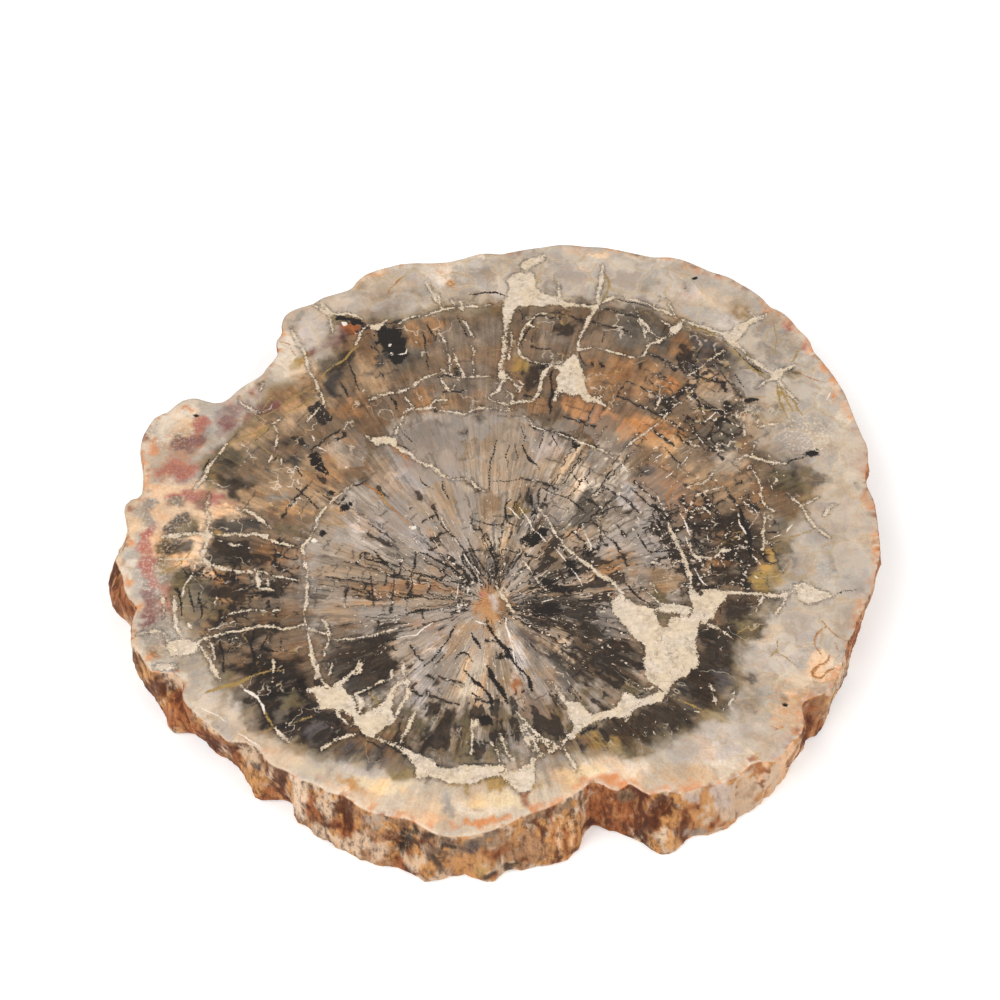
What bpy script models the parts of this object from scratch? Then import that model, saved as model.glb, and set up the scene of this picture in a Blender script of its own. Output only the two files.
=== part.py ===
"""Petrified wood slice: one flat slab of stone cut across a trunk, polished on top, with its bark left rough round the rim."""
import math

import bmesh
import bpy
from mathutils import Vector

# Driving dimensions, in millimetres unless the name says otherwise.
MM = 0.001
THICKNESS = 30.0
STATIONS = 344
RING_HEIGHTS = (1.2, 5.0, 9.5, 14.0, 18.5, 23.0, 27.0, 29.3, 30.0)
TOP_EDGE_EASE = 0.3
BASE_EDGE_EASE = 0.8
CURVE_STEPS = 12
SHARP_ANGLE = math.radians(38.0)

# Middle of the outline's box in the coordinates that the outlines below are drawn in. It becomes the origin.
MIDDLE = (-2.1, -1.7)

# Edge of the polished face, anticlockwise from the right.
TOP_EDGE = (
    (132, 0), (131.5, 5), (130, 11), (130.5, 17), (131.5, 22), (132, 27), (131, 31), (130, 35),
    (128.5, 41), (127.5, 46), (126.5, 51), (125, 55), (123, 60), (120.5, 65), (118, 69.5), (116.5, 72),
    (116, 75.5), (114, 79.5), (111.5, 83), (109.5, 87), (106, 91), (102, 93.5), (100, 97), (96.5, 101),
    (91, 105.5), (87, 108.5), (80, 111.5), (76, 114), (70.5, 117), (65.5, 118.5), (60, 118.5), (53, 120),
    (46.5, 122), (40, 123.5), (33, 124), (25, 125), (20, 124.5), (16, 123.5), (10, 122.5), (4, 121),
    (0, 120), (-5, 120.5), (-10, 119.5), (-15, 117.5), (-20, 116), (-27, 115.5), (-33, 115.5), (-38, 115),
    (-42.5, 113.5), (-47, 112), (-51.5, 109.5), (-55, 105.5), (-56.5, 102.5), (-59.5, 101), (-63.5, 99.5),
    (-68, 97.5), (-70.5, 95), (-77, 92.5), (-81, 89), (-82, 84), (-81.5, 80.5), (-83.5, 76), (-82.5, 71),
    (-83.5, 68), (-86, 64), (-87.5, 61), (-90, 58.5), (-94.5, 55), (-97.5, 51.5), (-99, 49.5), (-102, 47.5),
    (-105, 47.3), (-108, 48.3), (-112, 49.6), (-116, 48.5), (-119, 45.5), (-120.5, 43.5), (-125, 41), (-127, 37),
    (-128.5, 33), (-129, 29), (-128.5, 24), (-127.5, 19), (-126.5, 13), (-126.5, 7), (-127.5, 5), (-130.5, 4),
    (-132, 1), (-131, -4), (-129.5, -8), (-130, -13), (-130.5, -17), (-133, -20), (-131.5, -24), (-129.5, -28),
    (-128.5, -33), (-126.5, -37), (-123.5, -40.5), (-124.5, -46), (-124, -51), (-124, -55), (-121, -58.5),
    (-118, -63), (-115.5, -66), (-110, -66), (-107, -67), (-105, -70.5), (-105, -73.5), (-104, -77),
    (-101.5, -80), (-98.5, -83), (-95.5, -85.5), (-91.5, -89), (-88.5, -92), (-84, -92), (-79, -94),
    (-76.5, -97.5), (-73.5, -100.5), (-68, -103), (-65, -105.5), (-60, -107), (-55, -110), (-49, -112),
    (-45.5, -115), (-40, -117.5), (-33.5, -119), (-29.5, -119.5), (-25, -122), (-22, -124), (-17.5, -125.5),
    (-11, -125.5), (-6, -124.5), (-1.5, -123), (4, -120.5), (10, -117.5), (15.5, -115.5), (19.5, -113.5),
    (23.5, -111), (27, -108.5), (29, -107), (32.5, -107), (35, -109), (38.5, -109.5), (41.5, -107),
    (45, -109.5), (48, -111), (52, -110), (54, -109.5), (56.5, -111), (60.5, -109.5), (65, -108),
    (70.5, -107), (74.5, -106), (78.5, -103), (81, -100), (85.5, -99), (89, -99), (92, -96), (94.5, -92),
    (97.5, -90), (99, -87), (99.5, -84), (99.5, -79), (101, -76.5), (104.5, -75), (108, -73.5),
    (110.5, -70.5), (113, -66), (114.5, -62), (116, -57), (117.5, -53), (119.5, -50), (121, -45.5),
    (124, -40.5), (125.5, -37), (127, -34.5), (128.5, -29.5), (129.5, -26), (130.5, -23), (131.5, -19),
    (132, -13), (132, -7),
)

# Edge of the sawn underside, anticlockwise from the right.
BASE_EDGE = (
    (130, 0), (129, 10), (130, 22), (129, 34), (126, 46), (122, 58), (116, 69), (113, 78), (107, 87),
    (99, 95), (89, 104), (79, 110), (68, 116), (55, 118), (44, 121), (30, 123), (17, 122), (5, 119),
    (-6, 119), (-16, 116), (-29, 115), (-41, 112), (-50, 108), (-55, 101), (-66, 97), (-77, 91), (-81, 82),
    (-82, 72), (-86, 62), (-96, 51), (-106, 46), (-114, 47), (-122, 41), (-127, 33), (-127, 21), (-126, 10),
    (-129, 2), (-128, -8), (-131, -18), (-130, -28), (-126, -36), (-123, -42), (-122, -49), (-119, -56),
    (-116, -62), (-114, -67), (-112, -72), (-104, -73), (-99, -78), (-95, -80), (-93, -82), (-88, -87),
    (-83, -94), (-80, -97), (-75, -98), (-70, -99), (-68, -104), (-64, -108), (-59, -112), (-53, -115),
    (-48, -118), (-44, -121), (-40, -121), (-33, -123), (-28, -125), (-24, -127), (-20, -127), (-17, -125),
    (-13, -125), (-9, -126), (-5, -127), (-2, -127), (1, -124), (5, -123), (10, -123), (14, -122),
    (20, -120), (24, -118), (26, -117), (27, -113), (28, -110), (30, -108), (33, -108), (37, -109),
    (41, -111), (47, -114), (50, -117), (54, -117), (58, -116), (62, -112), (67, -111), (74, -109),
    (80, -105), (85, -101), (87, -97), (90, -96), (94, -92), (98, -86), (102, -80), (104, -76), (108.5, -74),
    (110, -69), (113, -62), (117, -57), (120, -50), (123, -42), (125, -35), (127, -27), (129, -18), (130, -9),
)

# Lumps (outward) and hollows (inward) of the bark: x and y of the place, height, half length along the rim,
# half height, and how far it stands out.
RELIEF = (
    (-131, -25, 15, 10.0, 13.0, 5.6), (-130, -12, 22, 4.0, 6.0, 2.6), (-121, -58, 10, 7.0, 9.0, 3.6),
    (-110, -71, 8, 5.5, 8.0, 1.5), (-108, -69, 23, 5.0, 6.0, -1.4), (-101, -79, 12, 4.0, 9.0, 1.2),
    (-86, -91, 21, 4.0, 6.5, -2.0), (-77, -97, 7, 6.0, 7.0, 1.8), (-69, -101, 13, 2.4, 12.0, -1.8),
    (-59, -109, 13, 8.0, 12.0, 1.4), (-49, -114, 8, 5.0, 7.0, 1.2), (-37, -119, 24, 6.0, 4.0, 0.9),
    (-30, -121, 14, 3.6, 5.5, -3.2), (-24, -124, 6, 5.0, 5.5, 1.4), (-15, -125, 9, 5.0, 6.0, -1.4),
    (-4, -126, 7, 6.0, 6.5, 1.4), (6, -121, 19, 6.0, 3.0, -1.0), (14, -119, 10, 4.5, 9.0, 0.9),
    (22, -115, 14, 4.0, 14.0, 0.9), (31, -107, 16, 3.0, 14.0, -1.0), (44, -110, 24, 3.0, 4.0, -1.8),
    (52, -115, 7, 5.0, 8.0, 1.4), (54, -111, 23, 3.0, 3.5, -1.6), (66, -110, 15, 7.0, 12.0, 1.1),
    (78, -104, 15, 2.0, 13.0, -2.4), (88, -99, 14, 6.0, 12.0, 1.0), (100, -82, 18, 4.0, 9.0, -0.8),
    (112, -66, 12, 7.0, 9.0, 0.9), (124, -38, 20, 4.0, 6.0, -1.6), (130, -14, 10, 9.0, 9.0, 0.9),
    (130, 10, 16, 4.0, 11.0, -1.4), (130, 27, 14, 8.0, 10.0, 1.2), (124, 55, 12, 8.0, 9.0, -1.2),
    (116, 72, 17, 3.0, 12.0, -1.8), (108, 86, 12, 7.0, 10.0, 1.4), (96, 100, 20, 5.0, 7.0, -1.4),
    (80, 111, 11, 8.0, 9.0, 1.5), (62, 118, 16, 4.0, 11.0, -1.6), (42, 122, 12, 9.0, 8.0, 1.0),
    (20, 124, 18, 5.0, 8.0, -1.4), (0, 120, 12, 7.0, 10.0, 1.5), (-22, 116, 16, 4.0, 11.0, -1.6),
    (-42, 113, 11, 8.0, 9.0, 1.3), (-60, 100, 15, 4.0, 12.0, -1.5), (-78, 91, 12, 7.0, 10.0, 1.4),
    (-83, 72, 18, 4.0, 8.0, -1.4), (-96, 52, 13, 7.0, 9.0, 1.2), (-112, 49, 10, 6.0, 7.0, 1.4),
    (-126, 38, 19, 4.0, 7.0, -1.5), (-128, 22, 11, 8.0, 9.0, 1.2), (-127, 7, 16, 3.0, 12.0, -1.6),
)

# Shallow upright flutes of the bark: waves round the rim, drift with height in turns, start, depth.
FLUTES = ((67, 0.55, 0.0, 0.32), (101, -0.8, 1.7, 0.26), (43, 0.35, 4.1, 0.34), (151, 1.3, 2.6, 0.16))

STONE_COLOUR = (0.36, 0.28, 0.21, 1.0)
STONE_ROUGHNESS = 0.35


def clear_scene():
    for item in list(bpy.data.objects):
        bpy.data.objects.remove(item, do_unlink=True)


def smooth_loop(points):
    """A closed smooth curve through the points, as many short steps."""
    count = len(points)
    knots = [Vector(p) for p in points]
    run = []
    for i in range(count):
        before, start, end, after = (knots[(i + k) % count] for k in (-1, 0, 1, 2))
        for step in range(CURVE_STEPS):
            t = step / CURVE_STEPS
            run.append(
                0.5 * (2 * start + (end - before) * t
                       + (2 * before - 5 * start + 4 * end - after) * t ** 2
                       + (3 * start - before - 3 * end + after) * t ** 3)
            )
    return run


def turn_and_reach(run):
    """The curve as (angle, distance from the centre), in order of angle."""
    return sorted((math.atan2(p.y, p.x) % math.tau, p.length) for p in run)


def reach_at(polar, angle):
    """Distance from the centre to the curve at this angle."""
    angle %= math.tau
    low, high = 0, len(polar)
    while low < high:
        mid = (low + high) // 2
        if polar[mid][0] < angle:
            low = mid + 1
        else:
            high = mid
    left, right = polar[low - 1], polar[low % len(polar)]
    gap = (right[0] - left[0]) % math.tau
    t = ((angle - left[0]) % math.tau) / gap if gap > 1e-9 else 0.0
    return left[1] + (right[1] - left[1]) * t


def even_stations(run, count):
    """Places at even spacing along the closed curve."""
    ends = run[1:] + run[:1]
    lengths = [(b - a).length for a, b in zip(run, ends)]
    spacing = sum(lengths) / count
    places, passed, i = [], 0.0, 0
    for k in range(count):
        while passed + lengths[i] < k * spacing:
            passed += lengths[i]
            i += 1
        places.append(run[i].lerp(ends[i], (k * spacing - passed) / lengths[i]))
    return places


def bark(place, turn, height):
    """How far the bark stands out at this place of the rim and this height."""
    inside = min(1.0, (THICKNESS - height) / 5.0)
    out = 0.0
    for x, y, level, along, up, far in RELIEF:
        across = ((place.x - x) ** 2 + (place.y - y) ** 2) / along ** 2 + ((height - level) / up) ** 2
        if across < 9.0:
            out += far * math.exp(-across)
    for waves, drift, start, depth in FLUTES:
        out += depth * math.cos(waves * turn + drift * math.tau * height / THICKNESS + start)
    return out * inside


def ring_reach(place, height, top, base):
    """Distance from the centre to the wall at this place of the rim and this height."""
    angle = math.atan2(place.y, place.x)
    upper = reach_at(top, angle)
    lower = reach_at(base, angle)
    share = 1.0 - height / THICKNESS
    reach = upper + (lower - upper) * share * share * (3.0 - 2.0 * share)
    return reach + bark(place, angle, height)


def make_slice():
    top_run = smooth_loop(TOP_EDGE)
    top = turn_and_reach(top_run)
    base = turn_and_reach(smooth_loop(BASE_EDGE))
    places = even_stations(top_run, STATIONS)
    shift = Vector((MIDDLE[0], MIDDLE[1], 0.0))

    def spot(place, height, ease):
        reach = ring_reach(place, height, top, base) - ease
        flat = place.normalized() * reach
        return (Vector((flat.x, flat.y, height)) - shift) * MM

    bm = bmesh.new()
    ring = [bm.verts.new(spot(p, 0.0, BASE_EDGE_EASE)) for p in places]
    face = bm.faces.new(ring)
    for height in RING_HEIGHTS:
        # Each ring is the last face drawn up, then set to its own outline.
        made = bmesh.ops.extrude_face_region(bm, geom=[face])
        if face.is_valid and height != RING_HEIGHTS[0]:
            bm.faces.remove(face)
        face = next(g for g in made["geom"] if isinstance(g, bmesh.types.BMFace))
        ease = TOP_EDGE_EASE if height == THICKNESS else 0.0
        for corner, place in zip(face.verts, places):
            corner.co = spot(place, height, ease)
    bmesh.ops.recalc_face_normals(bm, faces=bm.faces[:])
    bmesh.ops.triangulate(bm, faces=bm.faces[:])
    mesh = bpy.data.meshes.new("petrified_wood_slice")
    bm.to_mesh(mesh)
    bm.free()
    return bpy.data.objects.new("petrified_wood_slice", mesh)


def stone_material():
    stone = bpy.data.materials.new("stone")
    stone.use_nodes = True
    shader = stone.node_tree.nodes["Principled BSDF"]
    shader.inputs["Base Color"].default_value = STONE_COLOUR
    shader.inputs["Roughness"].default_value = STONE_ROUGHNESS
    shader.inputs["Metallic"].default_value = 0.0
    return stone


def build():
    clear_scene()
    holder = bpy.data.collections.new("petrified_wood_slice")
    bpy.context.scene.collection.children.link(holder)
    slab = make_slice()
    holder.objects.link(slab)
    slab.data.materials.append(stone_material())
    for face in slab.data.polygons:
        face.use_smooth = True
    slab.data.set_sharp_from_angle(angle=SHARP_ANGLE)


build()
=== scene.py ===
"""Petrified wood slice, dressed: polished face with veins and rays, rough bark and sawn underside."""
import math

import bpy
import numpy as np
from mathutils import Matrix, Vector, noise
from mathutils.bvhtree import BVHTree
from mathutils.geometry import delaunay_2d_cdt


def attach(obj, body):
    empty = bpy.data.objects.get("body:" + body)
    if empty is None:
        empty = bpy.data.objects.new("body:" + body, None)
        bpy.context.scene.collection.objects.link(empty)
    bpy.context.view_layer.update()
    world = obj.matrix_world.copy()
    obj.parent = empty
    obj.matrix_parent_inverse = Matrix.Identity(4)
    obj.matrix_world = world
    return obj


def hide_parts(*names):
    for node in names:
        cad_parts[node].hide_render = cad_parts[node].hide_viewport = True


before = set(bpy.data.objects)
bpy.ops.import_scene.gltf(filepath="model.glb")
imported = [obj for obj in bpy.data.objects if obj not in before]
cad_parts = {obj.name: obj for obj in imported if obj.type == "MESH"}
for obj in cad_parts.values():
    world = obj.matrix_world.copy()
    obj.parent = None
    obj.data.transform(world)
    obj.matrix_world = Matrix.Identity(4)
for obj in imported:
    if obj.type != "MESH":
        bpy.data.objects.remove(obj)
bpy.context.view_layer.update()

# Sizes are in millimetres unless the name or comment says otherwise.
MM = 0.001
SIZE = (268.8, 253.2)
TOP = 30.0
CENTRE = (2.1, 1.7)
PITH = (-1.0, -37.0)
# Within this distance of the pith, streaks and fibres fade.
PITH_REACH = 18
# The outline has this many points, found with this many rays, this far under the top.
STATIONS = 1000
RIM_RAYS = 3600
RIM_BELOW = 0.5
EDGE_ROUND = 0.45
WALL_RINGS = 28
# Spacing of the points inside the polished face and the underside, how far their grids reach
# from the middle, and how far inside the outline they stay.
TOP_GRID = 1.12
BASE_GRID = 6.0
HALF_WIDE = 138
TOP_HALF_DEEP = 130
BASE_HALF_DEEP = 132
TOP_MARGIN = 1.4
BASE_MARGIN = 6.0
# A grid point is left out where a vein's point lies in the same cell of this size.
POINT_GAP = 0.75
LINE_STEP = 1.15
VEIN_MARGIN = 1.2
VEIN_TAPER = 3.0
# The drawn half widths of the veins are scaled by this.
VEIN_WIDTH = 0.72
# Veins wander this far, by fields that each have a scale, a share and a seed.
WANDER = 0.45
WANDER_FIELDS = ((5.0, 0.9, 21), (2.2, 0.8, 31))
# How far points move along and across their rays where tones are painted.
COMB = (4.0, 1.5)
NOISE_GRID = 128
NOISE_SHIFT = 640.0
# The depth in a vein isn't told apart further out than this.
REACH = 4.0
# A pit gets deeper over this width, by this much for each millimetre.
PIT_RAMP = 0.8
PIT_SLOPE = 1.6
TINY = 1e-6
SEED = 11
# Relief of the bark: size across, size up, shift of the noise, and how far it stands out.
LUMPS = (6.0, 9.0, 0, 0.75)
RIDGES = (2.6, 9.0, 7, 0.7)
CRUMBS = (1.3, 1.6, 3, 0.28)

# Camera of the reference view, in metres and degrees; lens and sensor are in millimetres.
AIM = (0.0021, 0.0057, 0.030)
ELEVATION = 55.0
DISTANCE = 0.700
LENS = 71.6
SENSOR = 36.0

# Lamps: name, place and size in metres, power in watts. The sky and the floor's own glow are strengths.
LAMPS = (("key", (-0.9, -0.7, 1.6), 1.2, 22.0), ("fill", (1.1, -0.5, 1.4), 1.2, 12.0))
SKY = 0.5
FLOOR_GLOW = 0.18
# The floor's half width and how far it is under the slice, in metres.
FLOOR_REACH = 4.0
FLOOR_DROP = 0.0002

# The flat layout, in shares of its side: where a face starts across and up, its width and its direction.
TOP_PLOT = (0.005, 0.27, 0.77, 1)
BASE_PLOT = (0.995, 0.75, 0.205, -1)
# The wall's strips: left, top, width, step from strip to strip, and height.
STRIPS = (0.005, 0.26, 0.99, 0.088, 0.082)

# What warm and cool wedges multiply the wood's colour by.
WARM = (1.1, 0.88, 0.66)
COOL = (1.1, 1.13, 1.22)
# Patches in the wood: start and end of the step in their random value, share and colour.
WOOD_PATCHES = ((0.62, 0.68, 0.45, "lilac"), (0.3, 0.24, 0.4, "tan"), (0.45, 0.49, 0.3, "ash"))
# Nets of cracks: cells round the pith, cells for each millimetre along the rays, width and share.
CRACK_NETS = ((10.0, 0.1, 0.11, 1.0), (19.0, 0.17, 0.1, 0.75))
# Ladders of cracks: rays, rungs for each millimetre, half width, least distance from the pith and share.
LADDERS = ((88, 0.2, 0.18, 24.0, 0.5), (44, 0.13, 0.36, 5.0, 0.95))
# Where a crack of a ladder is left out, this is added to its distance.
CRACK_OFF = 3.0
# The outer ring: blocks as the wood's patches; lines as the nets of cracks, with a colour; clouds with
# the shift and scale of their noise, start and end of the step, share and colour.
RING_BLOCKS = ((0.38, 0.43, 0.5, "fog"), (0.62, 0.66, 0.5, "mist"), (0.82, 0.85, 0.4, "lilac"))
RING_LINES = (
    (9.0, 0.075, 0.12, 0.3, "cream"), (9.0, 0.075, 0.03, 0.4, "gold"), (22.0, 0.17, 0.06, 0.22, "ochre"),
)
RING_CLOUDS = (
    (12, 0.06, 0.48, 0.6, 0.5, "cream"), (47, 0.09, 0.52, 0.66, 0.45, "sand"),
    (83, 0.11, 0.56, 0.66, 0.4, "taupe"),
)
# Veins from the lowest up: kind, two colours, how far noise moves the edge, and how soft the edge is.
VEIN_LOOKS = (
    ("rust", "rust", "ochre", 2.6, 0.3), ("gold", "moss", "gold", 2.8, 0.25),
    ("blot", "black", "night", 3.0, 0.3), ("black", "black", "night", 3.0, 0.14),
    ("ivory", "sand", "ivory", 3.4, 0.16), ("white", "cream", "white", 1.5, 0.14),
)
# The polished face's colours are raised to this power and then multiplied by this.
CONTRAST = 1.15
BRIGHTNESS = 1.04

PALETTE = {
    "pale": (174, 160, 146), "beige": (176, 157, 137), "tan": (172, 144, 114), "orange": (184, 138, 96),
    "amber": (188, 148, 106), "umber": (66, 55, 45), "brown": (131, 110, 89), "olive": (112, 100, 76),
    "smoke": (80, 73, 66), "ash": (118, 107, 94), "slate": (98, 90, 88), "rind": (186, 177, 166),
    "lilac": (198, 186, 178), "cream": (224, 208, 188), "ivory": (232, 216, 198), "peach": (230, 196, 162),
    "brick": (178, 116, 104), "plum": (134, 94, 90), "rust": (156, 98, 58), "darkrust": (92, 50, 28),
    "ochre": (192, 146, 94), "black": (38, 33, 30), "gold": (176, 146, 90), "moss": (150, 128, 82),
    "white": (240, 232, 222), "night": (50, 42, 36), "fog": (160, 149, 137), "sand": (207, 189, 167),
    "clay": (160, 124, 90), "taupe": (140, 123, 106), "mist": (168, 160, 152), "butter": (230, 208, 172),
    "flame": (214, 148, 98),
}

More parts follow.
